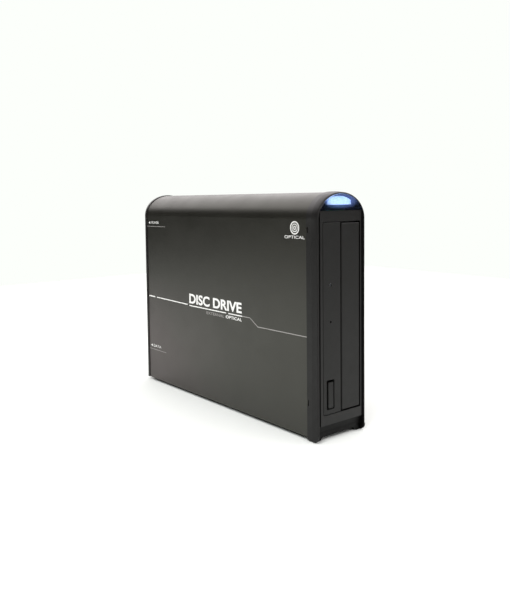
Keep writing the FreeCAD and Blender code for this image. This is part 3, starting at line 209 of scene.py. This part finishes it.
def grained(made, colour, roughness, grain, depth, worn, specular, parts=None):
    """Dresses a finish as moulded plastic. Its parts are two masks: one of painted shade, darker and duller,
    and one glossy.
    """
    made.put("Specular IOR Level", specular)
    drift = made.noise(22.0, 2.0)
    grains = made.noise(grain, 2.0, roughness=0.7)
    shade = made.mixed(drift, scaled(colour, 0.88), scaled(colour, 1.12))
    shade = made.mixed(made.spread(grains, 0.0, 0.35, 0.35, 0.75), shade, scaled(colour, 1.5))
    rough = made.spread(made.noise(6.0, 4.0), roughness - 0.05, roughness + 0.06, 0.3, 0.7)
    if worn:
        patches = made.spread(made.noise(2.5, 3.0), 0.2, 1.0, 0.4, 0.6)
        rim = made.maths("MULTIPLY", made.maths("MULTIPLY", made.edges(0.35), patches), worn)
        shade = made.mixed(rim, shade, scaled(colour, 2.6))
        rough = made.maths("SUBTRACT", rough, made.maths("MULTIPLY", rim, 0.12))
    if parts is not None:
        dark, glossy = parts
        # painted shade: the colour falls to a quarter and the specular drops where the dark mask lies
        shade = made.mixed(dark, shade, scaled(colour, 0.25))
        gloss = made.spread(dark, specular, specular * 0.4)
        made.put("Specular IOR Level", made.maths("ADD", gloss, made.maths("MULTIPLY", glossy, 0.34)))
    made.put("Base Color", shade)
    made.put("Roughness", rough)
    made.relief(grains, depth, 0.6)


def bezel_plastic():
    """The end bezels' plastic: painted shade on the chin under the front panel, which is also duller there;
    glossier round the upper shoulders.
    """
    colour = (0.0066, 0.0064, 0.0062)
    front = cad_box[0].y
    made = Finish("bezel_black")
    up, along = made.axis("Z"), made.axis("Y")
    out = made.maths("ABSOLUTE", made.axis("X"))
    below = made.spread(up, 1.0, 0.0, CHIN_TOP - 0.2 * MM, CHIN_TOP + 0.1 * MM)
    between = made.spread(out, 1.0, 0.0, CHIN_HALF, CHIN_HALF + 0.2 * MM)
    ahead = made.spread(along, 1.0, 0.0, *CHIN_BACK)
    # painted shade on the chin, below the front panel's lower edge, between the rims, towards the front
    chin_shade = made.maths("MULTIPLY", made.maths("MULTIPLY", below, between), ahead)
    upper = made.spread(up, 0.0, 1.0, *SHOULDER)
    outside = made.spread(out, 0.0, 1.0, CHIN_HALF - 1.0 * MM, CHIN_HALF)
    over = made.spread(up, 0.0, 1.0, LAMP_LOW.z - 5.0 * MM, LAMP_LOW.z - 4.0 * MM)
    back = made.spread(along, 0.0, 1.0, front + 1.0 * MM, front + 6.0 * MM)
    edge = made.maths("MAXIMUM", outside, over)
    shoulder = made.maths("MULTIPLY", made.maths("MULTIPLY", upper, back), edge)
    grained(made, colour, roughness=0.40, grain=0.35, depth=0.02, worn=0.3, specular=0.26,
            parts=(chin_shade, shoulder))
    return made.material


def sleeve_coat():
    """Black anodised aluminium with a fine satin grain, and a painted mauve reflection of the floor, lighter
    low at the rear.
    """
    dark, light = (0.0052, 0.0054, 0.0038), (0.0076, 0.0070, 0.0060)
    painted_mauve_reflection, polished = (0.024, 0.014, 0.017), (0.10, 0.10, 0.10)
    made = Finish("sleeve_coat")
    made.put("Specular IOR Level", 0.60)
    made.put("Specular Tint", (1.0, 1.0, 0.88))
    drift = made.noise(70.0, 2.0)
    grain = made.noise(0.55, 3.0, roughness=0.75)
    specks = made.noise(1.6, 2.0)
    shade = made.mixed(drift, dark, light)
    shade = made.mixed(made.spread(grain, 0.0, 0.5, 0.3, 0.8), shade, scaled(light, 1.7))
    shade = made.mixed(made.spread(specks, 0.0, 0.25, 0.45, 0.8), shade, scaled(dark, 0.5))
    # painted reflection of the floor: lighter and mauve low down and towards the rear
    low = made.spread(made.axis("Z"), 1.0, 0.0, *PAINTED_REFLECTION_UP)
    behind = made.spread(made.axis("Y"), 0.0, 1.0, *PAINTED_REFLECTION_ALONG)
    fade = made.maths("MULTIPLY", made.maths("MULTIPLY", low, behind), made.spread(drift, 0.5, 1.0, 0.3, 0.6))
    shade = made.mixed(fade, shade, painted_mauve_reflection)
    rim = made.maths("MULTIPLY", made.edges(0.4), made.spread(made.noise(3.0, 3.0), 0.0, 0.6, 0.45, 0.65))
    made.put("Base Color", made.mixed(rim, shade, polished))
    rough = made.spread(made.noise(18.0, 5.0), 0.31, 0.38, 0.3, 0.7)
    made.put("Roughness", made.maths("ADD", rough, made.spread(grain, -0.04, 0.04)))
    made.relief(grain, 0.03, 0.5)
    return made.material


def blue_lens():
    """Smoked blue acrylic: clear over the lamp, with a painted navy glow round it that dies out to black."""
    smoked, clear = (0.06, 0.08, 0.16), (0.60, 0.76, 0.96)
    black, painted_glow_navy = (0.0, 0.0, 0.0), (0.012, 0.026, 0.115)
    halo_half, halo_rise = 1.5 * LAMP_HIGH.x, 6.6 * MM
    made = Finish("lens_blue")
    middle = (LAMP_LOW.z + LAMP_HIGH.z) / 2
    side = made.maths("ABSOLUTE", made.maths("DIVIDE", made.axis("X"), halo_half))
    rise = made.maths("DIVIDE", made.maths("SUBTRACT", made.axis("Z"), middle), halo_rise)
    reach = made.maths("ADD", made.maths("POWER", side, 3.0), made.maths("MULTIPLY", rise, rise))
    reach = made.maths("ADD", reach, made.spread(made.noise(2.5, 3.0), -0.10, 0.10))
    halo = made.spread(reach, 1.0, 0.0, 0.2, 0.95)
    made.put("Base Color", made.mixed(halo, smoked, clear))
    made.put("Transmission Weight", 0.94)
    made.put("IOR", 1.49)
    made.put("Specular IOR Level", 0.3)
    # painted glow: the lens itself emits navy round the lamp's window, though the lamp is the diffuser behind
    # it
    made.put("Emission Color", made.mixed(halo, black, painted_glow_navy))
    made.put("Emission Strength", 1.0)
    made.put("Roughness", made.spread(made.noise(1.5, 3.0), 0.02, 0.06, 0.3, 0.7))
    made.relief(made.noise(3.0, 1.0), 0.01, 0.3)
    return made.material


def lit_diffuser():
    """White opal plastic, lit from behind: whitest along its foot, bluer and mottled at its edges."""
    white, bluish, dead = (1.05, 1.05, 0.92), (0.48, 0.74, 0.84), (0.015, 0.04, 0.20)
    made = Finish("light_white")
    across = made.maths("ABSOLUTE", made.maths("DIVIDE", made.axis("X"), LAMP_HIGH.x))
    edge = made.maths("POWER", across, 5.0)
    up = made.maths("POWER", made.spread(made.axis("Z"), 0.0, 1.0, LAMP_LOW.z, LAMP_HIGH.z), 2.5)
    out = made.maths("ADD", edge, up)
    mottle = made.spread(made.noise(1.4, 3.0), -0.55, 0.65, 0.30, 0.70)
    fade = made.maths("ADD", made.maths("MULTIPLY", out, 0.55), mottle)
    dying = made.spread(made.maths("ADD", out, made.maths("MULTIPLY", mottle, 0.3)), 0.0, 1.0, 0.70, 1.15)
    made.put("Base Color", made.mixed(fade, (0.86, 0.92, 1.0), (0.55, 0.72, 1.0)))
    made.put("Emission Color", made.mixed(dying, made.mixed(fade, white, bluish), dead))
    made.put("Emission Strength", 0.88)
    made.put("Roughness", 0.45)
    made.relief(made.noise(0.6, 2.0), 0.02, 0.4)
    return made.material


def screen_print(name, full, thin, worn, wear_start, smoothest, roughest):
    """Screen print: slightly uneven cover, from its full colour towards a thin one where worn."""
    made = Finish(name)
    cover = made.spread(made.noise(0.4, 3.0), 0.0, worn, wear_start, 0.8)
    made.put("Base Color", made.mixed(cover, full, thin))
    made.put("Roughness", made.spread(made.noise(0.9, 2.0), smoothest, roughest))
    made.relief(made.noise(0.3, 2.0), 0.004, 0.5)
    return made.material


def white_print():
    """The bold white ink."""
    return screen_print("printed_ink", (0.78, 0.78, 0.76), (0.52, 0.52, 0.50), worn=0.35, wear_start=0.55,
                        smoothest=0.42, roughest=0.60)


def grey_print():
    """The thin grey ink."""
    return screen_print("grey_ink", (0.30, 0.29, 0.28), (0.20, 0.19, 0.18), worn=0.5, wear_start=0.5,
                        smoothest=0.45, roughest=0.62)


def zinc_sheet(name, colour, roughness, spangle=7.0):
    """Zinc-coated or nickel-plated steel: crystal facets under fine rolling lines."""
    made = Finish(name)
    made.put("Metallic", 1.0)
    value = made.node("SeparateColor")
    made.feed(value, "Color", made.cells(spangle, output="Color"))
    tone = value.outputs[0]
    lines = made.noise(0.5, 2.0, stretch=(1, 60, 1))
    shade = made.mixed(made.spread(tone, 0.0, 1.0), scaled(colour, 0.86), scaled(colour, 1.08))
    stain = made.spread(made.noise(9.0, 5.0), 0.0, 0.5, 0.55, 0.8)
    made.put("Base Color", made.mixed(stain, shade, scaled(colour, 0.7)))
    facets = made.spread(tone, roughness - 0.06, roughness + 0.06)
    made.put("Roughness", made.maths("ADD", facets, made.spread(lines, -0.05, 0.05)))
    made.relief(lines, 0.01, 0.5)
    return made.material


def metal(name, colour, roughness, stretch=(1, 1, 1), size=0.8, depth=0.006):
    """Turned, ground or cast metal with tool marks along one way and slight tarnish."""
    made = Finish(name)
    made.put("Metallic", 1.0)
    marks = made.noise(size, 3.0, stretch=stretch)
    tarnish = made.spread(made.noise(5.0, 4.0), 0.0, 0.45, 0.5, 0.8)
    made.put("Base Color", made.mixed(tarnish, colour, scaled(colour, 0.62)))
    made.put("Roughness", made.spread(marks, roughness - 0.06, roughness + 0.08, 0.25, 0.75))
    made.relief(marks, depth, 0.6)
    return made.material


def rubber(name, colour):
    """Soft moulded rubber with bloom and dust in its pores."""
    made = Finish(name)
    made.put("Specular IOR Level", 0.35)
    pores = made.noise(0.25, 3.0, roughness=0.7)
    dust = made.spread(made.noise(1.4, 5.0), 0.0, 0.4, 0.55, 0.8)
    made.put("Base Color", made.mixed(dust, colour, (0.11, 0.105, 0.10)))
    made.put("Roughness", made.spread(pores, 0.72, 0.92))
    made.relief(pores, 0.03, 0.8)
    return made.material


def acetal(name, colour):
    """Natural acetal: waxy, faintly see-through, with flow marks."""
    made = Finish(name)
    made.put("Subsurface Weight", 0.12)
    made.put("Subsurface Radius", (0.6, 0.5, 0.4))
    made.put("Subsurface Scale", 1.2 * MM)
    flow = made.noise(3.0, 4.0, distortion=1.0)
    made.put("Base Color", made.mixed(flow, scaled(colour, 0.9), scaled(colour, 1.06)))
    made.put("Roughness", made.spread(made.noise(0.7, 3.0), 0.28, 0.42))
    made.relief(made.noise(0.4, 2.0), 0.006, 0.5)
    return made.material


def circuit_board():
    """Solder-masked board: copper tracks show as paler green lines, with pads and vias."""
    made = Finish("board_green")
    mask, copper, pad = (0.008, 0.085, 0.035), (0.016, 0.17, 0.07), (0.62, 0.60, 0.52)
    pitch = 1.27
    lanes = made.cells(4 * pitch, feature="DISTANCE_TO_EDGE", stretch=(1, 1, 1.8))
    track = made.spread(lanes, 1.0, 0.0, 0.04, 0.07)
    fine = made.cells(1.6 * pitch, feature="DISTANCE_TO_EDGE", stretch=(1, 2.2, 1))
    track = made.maths("MAXIMUM", track, made.spread(fine, 0.8, 0.0, 0.05, 0.09))
    dots = made.spread(made.cells(3 * pitch), 1.0, 0.0, 0.09, 0.13)
    weave = made.noise(0.3, 1.0, stretch=(1, 1, 3))
    shade = made.mixed(track, mask, copper)
    shade = made.mixed(made.spread(weave, 0.0, 0.3), shade, scaled(mask, 0.6))
    made.put("Base Color", made.mixed(dots, shade, pad))
    made.put("Metallic", made.maths("MULTIPLY", dots, 0.9))
    made.put("Roughness", made.spread(made.noise(2.0, 3.0), 0.22, 0.36))
    made.relief(made.maths("MAXIMUM", track, dots), 0.03, 0.7)
    return made.material


def clear_glass(name, colour, roughness):
    """Clear lamp epoxy or coated lens."""
    made = Finish(name)
    made.put("Transmission Weight", 0.85)
    made.put("IOR", 1.5)
    made.put("Base Color", made.mixed(made.noise(0.8, 2.0), scaled(colour, 0.92), colour))
    made.put("Roughness", made.spread(made.noise(0.5, 2.0), roughness, roughness + 0.06))
    return made.material


def ribbed_lead(name, colour, pitch):
    """Flat cable: one ridge for each conductor, with painted shading that follows the ridges, lighter in the
    grooves and darker over the crests.
    """
    made = Finish(name)
    radians_per_metre = 20.0      # how fast the wave node turns at a scale of 1
    wave = made.node("TexWave", bands_direction="Z", wave_profile="SIN")
    made.feed(wave, "Vector", made.place)
    made.feed(wave, "Scale", 2 * math.pi / (pitch * MM) / radians_per_metre)
    ridge = wave.outputs["Fac"]
    # painted shading: the colour follows the ridge height
    shade = made.mixed(made.spread(ridge, 0.0, 0.5), scaled(colour, 1.1), scaled(colour, 0.6))
    made.put("Base Color", shade)
    made.put("Roughness", made.spread(made.noise(0.8, 2.0), 0.42, 0.58))
    made.relief(ridge, 0.3, 0.7)
    return made.material


def all_finishes():
    """Every material slot of the record, by name."""
    return {
        "sleeve_coat": sleeve_coat(),
        "bezel_black": bezel_plastic(),
        "drive_black": moulded("drive_black", (0.0070, 0.0070, 0.0066), 0.44, grain=0.45, worn=0.25,
                               specular=0.23),
        "lens_blue": blue_lens(),
        "light_white": lit_diffuser(),
        "lamp_clear": clear_glass("lamp_clear", (0.30, 0.33, 0.36), 0.30),
        "rubber_black": rubber("rubber_black", (0.018, 0.018, 0.018)),
        "screw_black": metal("screw_black", (0.10, 0.10, 0.105), 0.38),
        "screw_silver": metal("screw_silver", (0.66, 0.66, 0.65), 0.28),
        "sheet_steel": zinc_sheet("sheet_steel", (0.60, 0.61, 0.62), 0.34),
        "frame_plastic": moulded("frame_plastic", (0.045, 0.045, 0.05), 0.48, grain=0.6, worn=0.2),
        "tray_plastic": moulded("tray_plastic", (0.055, 0.055, 0.058), 0.46, grain=0.5, worn=0.2),
        "gear_white": acetal("gear_white", (0.80, 0.79, 0.73)),
        "belt_rubber": rubber("belt_rubber", (0.014, 0.014, 0.014)),
        "board_green": circuit_board(),
        "chip_black": moulded("chip_black", (0.028, 0.028, 0.03), 0.55, grain=0.2, depth=0.01),
        "socket_black": moulded("socket_black", (0.024, 0.024, 0.026), 0.42, grain=0.3),
        "socket_metal": metal("socket_metal", (0.74, 0.73, 0.71), 0.24, stretch=(1, 12, 1)),
        "pin_metal": metal("pin_metal", (0.78, 0.60, 0.28), 0.22),
        "rod_steel": metal("rod_steel", (0.74, 0.74, 0.75), 0.12, stretch=(1, 8, 1), size=0.3),
        "motor_steel": zinc_sheet("motor_steel", (0.58, 0.58, 0.59), 0.30, spangle=1.5),
        "magnet_grey": metal("magnet_grey", (0.34, 0.34, 0.35), 0.34),
        "pickup_metal": metal("pickup_metal", (0.62, 0.62, 0.61), 0.50, size=0.5, depth=0.03),
        "lens_glass": clear_glass("lens_glass", (0.62, 0.70, 1.0), 0.01),
        "cable_grey": ribbed_lead("cable_grey", (0.34, 0.34, 0.35), 2.0),
        "cable_black": moulded("cable_black", (0.03, 0.03, 0.03), 0.40, grain=0.5),
        "rocker_black": moulded("rocker_black", (0.018, 0.018, 0.018), 0.22, grain=0.8, depth=0.004,
                                worn=0.4),
    }


def dress(finishes):
    """Gives every CAD node the finish of its slot."""
    slot_of = {row["node"]: row["material_slot"] for row in frame["record"]["subparts"]}
    for name, node in frame["nodes"].items():
        node.data.materials.clear()
        node.data.materials.append(finishes[slot_of[name]])


# ---- drawing in ink ----------------------------------------------------------------------
PRINT_LIFT = 0.012 * MM      # underside of the ink over the metal
PRINT_THICK = 0.02 * MM
OUT_OF_SIDE = Vector((-1, 0, 0))


def on_side(along, up):
    """A point of the printed side: along runs from the case's rear end to the front, up from the base."""
    return Vector((SLEEVE_LOW.x - PRINT_LIFT, cad_box[1].y - along * MM, up * MM))


def piece(name, mesh, finish, body=ENCLOSURE):
    """A new object made from a mesh, riding on a body."""
    mesh.materials.clear()
    mesh.materials.append(finish)
    made = bpy.data.objects.new(name, mesh)
    bpy.context.scene.collection.objects.link(made)
    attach(made, body)
    return made


def raised(outlines, place, outward):
    """A thin mesh from flat outlines: place puts a point of theirs in space, and they rise outward."""
    shape = bmesh.new()
    for outline in outlines:
        face = shape.faces.new([shape.verts.new(place(*point)) for point in outline])
        added = bmesh.ops.extrude_face_region(shape, geom=[face])
        tops = [v for v in added["geom"] if isinstance(v, bmesh.types.BMVert)]
        bmesh.ops.translate(shape, verts=tops, vec=outward * PRINT_THICK)
    bmesh.ops.recalc_face_normals(shape, faces=shape.faces)
    mesh = bpy.data.meshes.new("ink")
    shape.to_mesh(mesh)
    shape.free()
    return mesh


def inked(outlines):
    """A thin mesh from flat (along, up) outlines on the printed side."""
    return raised(outlines, on_side, OUT_OF_SIDE)


def bar(start, end, thick):
    """Outline of a straight printed line between two points."""
    a, b = Vector(start), Vector(end)
    side = (b - a).normalized().orthogonal() * thick / 2
    return [tuple(a - side), tuple(b - side), tuple(b + side), tuple(a + side)]


def bent_line(points, thick):
    """Outlines of a printed line with mitred corners."""
    rows = [Vector(p) for p in points]
    edges = []
    for i, p in enumerate(rows):
        before = (p - rows[i - 1]).normalized() if i else (rows[1] - p).normalized()
        after = (rows[i + 1] - p).normalized() if i + 1 < len(rows) else before
        mitre = (before + after).normalized().orthogonal()
        reach = thick / 2 / max(0.5, mitre.dot(before.orthogonal()))
        edges.append((tuple(p - mitre * reach), tuple(p + mitre * reach)))
    return [[a[0], b[0], b[1], a[1]] for a, b in zip(edges, edges[1:])]


def ring(centre, outer, inner, steps=64):
    """Outlines of a printed ring, one four-sided piece for each step round it."""
    def at(radius, k):
        angle = 2 * math.pi * k / steps
        return (centre[0] + radius * math.cos(angle), centre[1] + radius * math.sin(angle))
    return [[at(outer, k), at(outer, k + 1), at(inner, k + 1), at(inner, k)] for k in range(steps)]


def lettering(text, along, up, height, width, bold=0.0):
    """A thin mesh of generic words on the printed side, fitted to a height and a width."""
    curve = bpy.data.curves.new("words", "FONT")
    curve.body = text
    curve.size = 1.0
    curve.offset = bold
    curve.extrude = 0.5
    curve.resolution_u = 6
    holder = bpy.data.objects.new("words", curve)
    bpy.context.scene.collection.objects.link(holder)
    bpy.context.view_layer.update()
    mesh = bpy.data.meshes.new_from_object(holder.evaluated_get(bpy.context.evaluated_depsgraph_get()))
    bpy.data.objects.remove(holder)
    xs = [v.co.x for v in mesh.vertices]
    ys = [v.co.y for v in mesh.vertices]
    scale_x = width * MM / (max(xs) - min(xs))
    scale_y = height * MM / (max(ys) - min(ys))
    for v in mesh.vertices:
        x = (v.co.x - min(xs)) * scale_x
        y = (v.co.y - min(ys)) * scale_y
        depth = (v.co.z + curve.extrude) * PRINT_THICK
        v.co = on_side(along, up) + Vector((-depth, -x, y))
    return mesh


# ---- printing on the sleeve --------------------------------------------------------------
# In millimetres: along from the case's rear end, and up from the base.
TITLE_REAR = 79.2            # the title and the rule under it start here
TITLE_UP = 86.9
TITLE_HEIGHT = 9.2
TITLE_WIDTH = 79.0
RULE_UP = 84.8
RULE_GAP = (136.0, 139.5)    # the rule breaks off and goes on
RULE_FRONT = 158.8           # the stepped line takes over
RULE_THICK = 0.9
CAPTION_UP = 80.3
CAPTION_THIN = (107.0, 26.5)     # where the thin word starts, and its width
CAPTION_BOLD = (135.8, 22.5)     # the same for the bold word
CAPTION_BOLD_HEIGHT = 2.6
SMALL_HEIGHT = 2.4           # of the thin word and the socket labels
REAR_DASH = ((6.0, 86.6), (17.5, 86.4))
REAR_DASH_THICK = 1.1
REAR_RUN = ((21.0, 86.3), (76.3, 85.4))
STEP_TOP = 169.3             # the stepped line turns down here
STEP_FOOT = (179.3, 78.7)
STEP_END_UP = 79.2
STEP_THICK = 0.6
MARK = (224.5, 160.8)
MARK_RINGS = ((5.0, 4.2), (3.2, 2.6), (1.5, 0.8))    # outer and inner radius of each
MARK_WORD = (213.0, 152.6)
MARK_WORD_HEIGHT = 2.3
MARK_WORD_WIDTH = 22.5
LABEL_REAR = 5.2             # the labels' lines start here
LABEL_DROP = 2.6             # and run this far under the words
LABEL_THICK = 0.4
ARROW_TIP = 7.6
ARROW_BASE = 10.6
ARROW_UP = 1.1               # the tip over the word's foot
ARROW_HALF = 1.3
LABEL_WORD = 13.0
LABEL_WIDTH = 14.0


def print_title(ink, thin_ink):
    """The title over its rule, and a caption of a thin and a bold word under it."""
    words = lettering("DISC DRIVE", TITLE_REAR, TITLE_UP, TITLE_HEIGHT, TITLE_WIDTH, bold=0.03)
    piece("print_title", words, ink)
    rear_end, front_start = RULE_GAP
    rules = [bar((TITLE_REAR, RULE_UP), (rear_end, RULE_UP), RULE_THICK),
             bar((front_start, RULE_UP), (RULE_FRONT, RULE_UP), RULE_THICK)]
    piece("print_title_lines", inked(rules), ink)
    start, width = CAPTION_THIN
    piece("print_caption_start", lettering("EXTERNAL", start, CAPTION_UP, SMALL_HEIGHT, width), thin_ink)
    start, width = CAPTION_BOLD
    words = lettering("OPTICAL", start, CAPTION_UP, CAPTION_BOLD_HEIGHT, width, bold=0.02)
    piece("print_caption_end", words, ink)


def print_long_lines(ink, thin_ink):
    """The broken line behind the title and the stepped line in front of it."""
    rear = [bar(*REAR_DASH, REAR_DASH_THICK), bar(*REAR_RUN, RULE_THICK)]
    piece("print_rear_line", inked(rear), ink)
    front_edge = (cad_box[1].y - SLEEVE_LOW.y) / MM
    step = [(RULE_FRONT, RULE_UP), (STEP_TOP, RULE_UP), STEP_FOOT, (front_edge, STEP_END_UP)]
    piece("print_stepped_line", inked(bent_line(step, STEP_THICK)), thin_ink)


def print_disc_mark(ink):
    """Three plain rings with a word under them."""
    rings = []
    for outer, inner in MARK_RINGS:
        rings += ring(MARK, outer, inner)
    piece("print_disc_mark", inked(rings), ink)
    piece("print_mark_word", lettering("OPTICAL", *MARK_WORD, MARK_WORD_HEIGHT, MARK_WORD_WIDTH), ink)


def print_label(name, word, up, run, ink, thin_ink):
    """A socket's label at the rear: an arrow and a word over a line that ends at run."""
    middle = up + ARROW_UP
    arrow = [(ARROW_TIP, middle), (ARROW_BASE, middle + ARROW_HALF), (ARROW_BASE, middle - ARROW_HALF)]
    piece("print_" + name + "_arrow", inked([arrow]), ink)
    piece("print_" + name + "_word", lettering(word, LABEL_WORD, up, SMALL_HEIGHT, LABEL_WIDTH), ink)
    line = bar((LABEL_REAR, up - LABEL_DROP), (run, up - LABEL_DROP), LABEL_THICK)
    piece("print_" + name + "_line", inked([line]), thin_ink)


def print_side(ink, thin_ink):
    """Generic printing on the side: plain words, lines, a disc mark and socket labels."""
    print_title(ink, thin_ink)
    print_long_lines(ink, thin_ink)
    print_disc_mark(ink)
    print_label("power", "POWER", 159.6, 39.0, ink, thin_ink)
    print_label("data", "DATA", 35.2, 36.5, ink, thin_ink)


# ---- the rocker's marks ------------------------------------------------------------------
FLAT_FACING = 0.85           # a flat faces the rear at least this squarely
FLAT_AREA = 4 * MM ** 2      # and is larger than this
OFF_RING = (1.6, 1.2)        # outer and inner radius, in millimetres
ON_HALF = 1.6                # half the bar's height
ON_THICK = 0.45


def rocker_faces():
    """Middle and outward direction of the rocker's two flats, lower then upper."""
    node = frame["nodes"]["switch_rocker"]
    low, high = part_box("switch_rocker")
    middle = (low.z + high.z) / 2
    found = []
    for upper in (False, True):
        centre, outward, area = Vector(), Vector(), 0.0
        for face in node.data.polygons:
            at = node.matrix_world @ face.center
            turned = (node.matrix_world.to_3x3() @ face.normal).normalized()
            if turned.y > FLAT_FACING and (at.z > middle) == upper and face.area > FLAT_AREA:
                centre += at * face.area
                outward += turned * face.area
                area += face.area
        found.append((centre / area, outward.normalized()))
    return found


def rocker_mark(name, outlines, centre, outward, ink):
    """Flat (across, up) outlines in millimetres, printed on one flat of the rocker."""
    across = Vector((-1, 0, 0))
    up = outward.cross(across).normalized()
    up = up if up.z > 0 else -up

    def on_flat(x, z):
        return centre + (across * x + up * z) * MM + outward * PRINT_LIFT

    piece(name, raised(outlines, on_flat, outward), ink, "rocker")


def mark_rocker(ink):
    """A plain ring for off and a bar for on."""
    lower, upper = rocker_faces()
    rocker_mark("rocker_off_ring", ring((0, 0), *OFF_RING, steps=32), *lower, ink)
    rocker_mark("rocker_on_bar", [bar((0, -ON_HALF), (0, ON_HALF), ON_THICK)], *upper, ink)


# ---- stage -------------------------------------------------------------------------------
ROOM = (0.030, 0.033, 0.024)         # what the object's sides reflect at eye level
ROOM_LEFT = (0.014, 0.016, 0.009)    # the same to its left
ROOM_BEHIND = (0.34, 0.32, 0.32)     # the same beyond its rear right
CEILING = (2.15, 2.06, 2.06)
CEILING_TILT = math.radians(40)      # the ceiling light's side edge faces right, and this far up
PAPER = (0.976, 1.0, 0.965)
FLOOR_HALF = 1.0
LIGHT_EYE = (-1.3, -0.5, 1.3)
LIGHT_SIZE = 0.9
LIGHT_POWER = 26.0


def surroundings():
    """A dim room under a soft ceiling light that runs along the object; the camera sees white paper."""
    world = bpy.data.worlds.new("studio")
    bpy.context.scene.world = world
    world.use_nodes = True
    graph = Graph(world.node_tree)
    view = graph.node("TexCoord").outputs["Generated"]

    def share(direction, low, high):
        """0 to 1 as the view turns towards a direction."""
        turned = graph.dot(view, Vector(direction).normalized())
        return graph.spread(turned, 0.0, 1.0, low, high, curve="SMOOTHSTEP")

    room = graph.mixed(share((-1, 0, 0), 0.50, 0.72), ROOM, ROOM_LEFT)
    room = graph.mixed(share((1, 1, 0), 0.3, 1.0), room, ROOM_BEHIND)
    right_side = share((math.cos(CEILING_TILT), 0, math.sin(CEILING_TILT)), -0.12, 0.14)
    ceiling = graph.maths("MULTIPLY", right_side, share((0, 0, 1), 0.10, 0.36))
    background = graph.nodes["Background"]
    graph.feed(background, "Color", graph.mixed(ceiling, room, CEILING))
    paper = graph.node("Background")
    graph.feed(paper, "Color", PAPER)
    choose = graph.node("MixShader")
    graph.feed(choose, 0, graph.node("LightPath").outputs["Is Camera Ray"])
    graph.feed(choose, 1, background.outputs[0])
    graph.feed(choose, 2, paper.outputs[0])
    graph.feed(graph.nodes["World Output"], "Surface", choose.outputs[0])


def paper_floor():
    """A sheet of white paper under the object."""
    corners = [(-FLOOR_HALF, -FLOOR_HALF, 0), (FLOOR_HALF, -FLOOR_HALF, 0),
               (FLOOR_HALF, FLOOR_HALF, 0), (-FLOOR_HALF, FLOOR_HALF, 0)]
    sheet = bpy.data.meshes.new("floor")
    sheet.from_pydata(corners, [], [(0, 1, 2, 3)])
    made = Finish("floor_paper")
    shade = made.mixed(made.noise(400.0, 2.0), (0.665, 0.692, 0.674), (0.675, 0.702, 0.684))
    made.put("Base Color", shade)
    made.put("Roughness", 0.9)
    made.put("Specular IOR Level", 0.1)
    sheet.materials.append(made.material)
    plane = bpy.data.objects.new("floor", sheet)
    bpy.context.scene.collection.objects.link(plane)


def paper_light():
    """A square lamp that lights the paper and is hidden from glossy reflections; the ceiling makes the
    highlights.
    """
    data = bpy.data.lights.new("left_light", "AREA")
    data.shape = "SQUARE"
    data.size = LIGHT_SIZE
    data.energy = LIGHT_POWER
    made = bpy.data.objects.new("left_light", data)
    bpy.context.scene.collection.objects.link(made)
    made.location = LIGHT_EYE
    made.rotation_euler = (-Vector(LIGHT_EYE)).to_track_quat("-Z", "Y").to_euler()
    made.visible_glossy = False


def studio():
    """Dim surroundings, a paper floor and its lamp."""
    bpy.context.scene.view_settings.view_transform = "Standard"
    surroundings()
    paper_floor()
    paper_light()


# ---- camera ------------------------------------------------------------------------------
EYE = Vector((-0.37134, -0.47666, 0.18268))
AZIMUTH = math.radians(-38.150)
ELEVATION = math.radians(3.725)      # how far it looks down
ROLL = math.radians(-0.699)
SENSOR_WIDTH = 36.0
FOCAL_LENGTH = 40.488
SHIFT_X = 0.0201
SHIFT_Y = -0.0943


def camera():
    """The fitted view: in front, to the left and a little above."""
    forward = Vector((-math.sin(AZIMUTH) * math.cos(ELEVATION),
                      math.cos(AZIMUTH) * math.cos(ELEVATION),
                      -math.sin(ELEVATION)))
    level = Vector((math.cos(AZIMUTH), math.sin(AZIMUTH), 0))
    upright = level.cross(forward)
    right = math.cos(ROLL) * level + math.sin(ROLL) * upright
    up = math.cos(ROLL) * upright - math.sin(ROLL) * level
    data = bpy.data.cameras.new("camera")
    data.sensor_width = SENSOR_WIDTH
    data.lens = FOCAL_LENGTH
    data.shift_x = SHIFT_X
    data.shift_y = SHIFT_Y
    data.clip_start = 10 * MM
    made = bpy.data.objects.new("camera", data)
    turned = Matrix((right, up, -forward)).transposed()
    made.matrix_world = Matrix.Translation(EYE) @ turned.to_4x4()
    bpy.context.scene.collection.objects.link(made)
    bpy.context.scene.camera = made


dress(all_finishes())
white_ink = white_print()
print_side(white_ink, grey_print())
mark_rocker(white_ink)
studio()
camera()
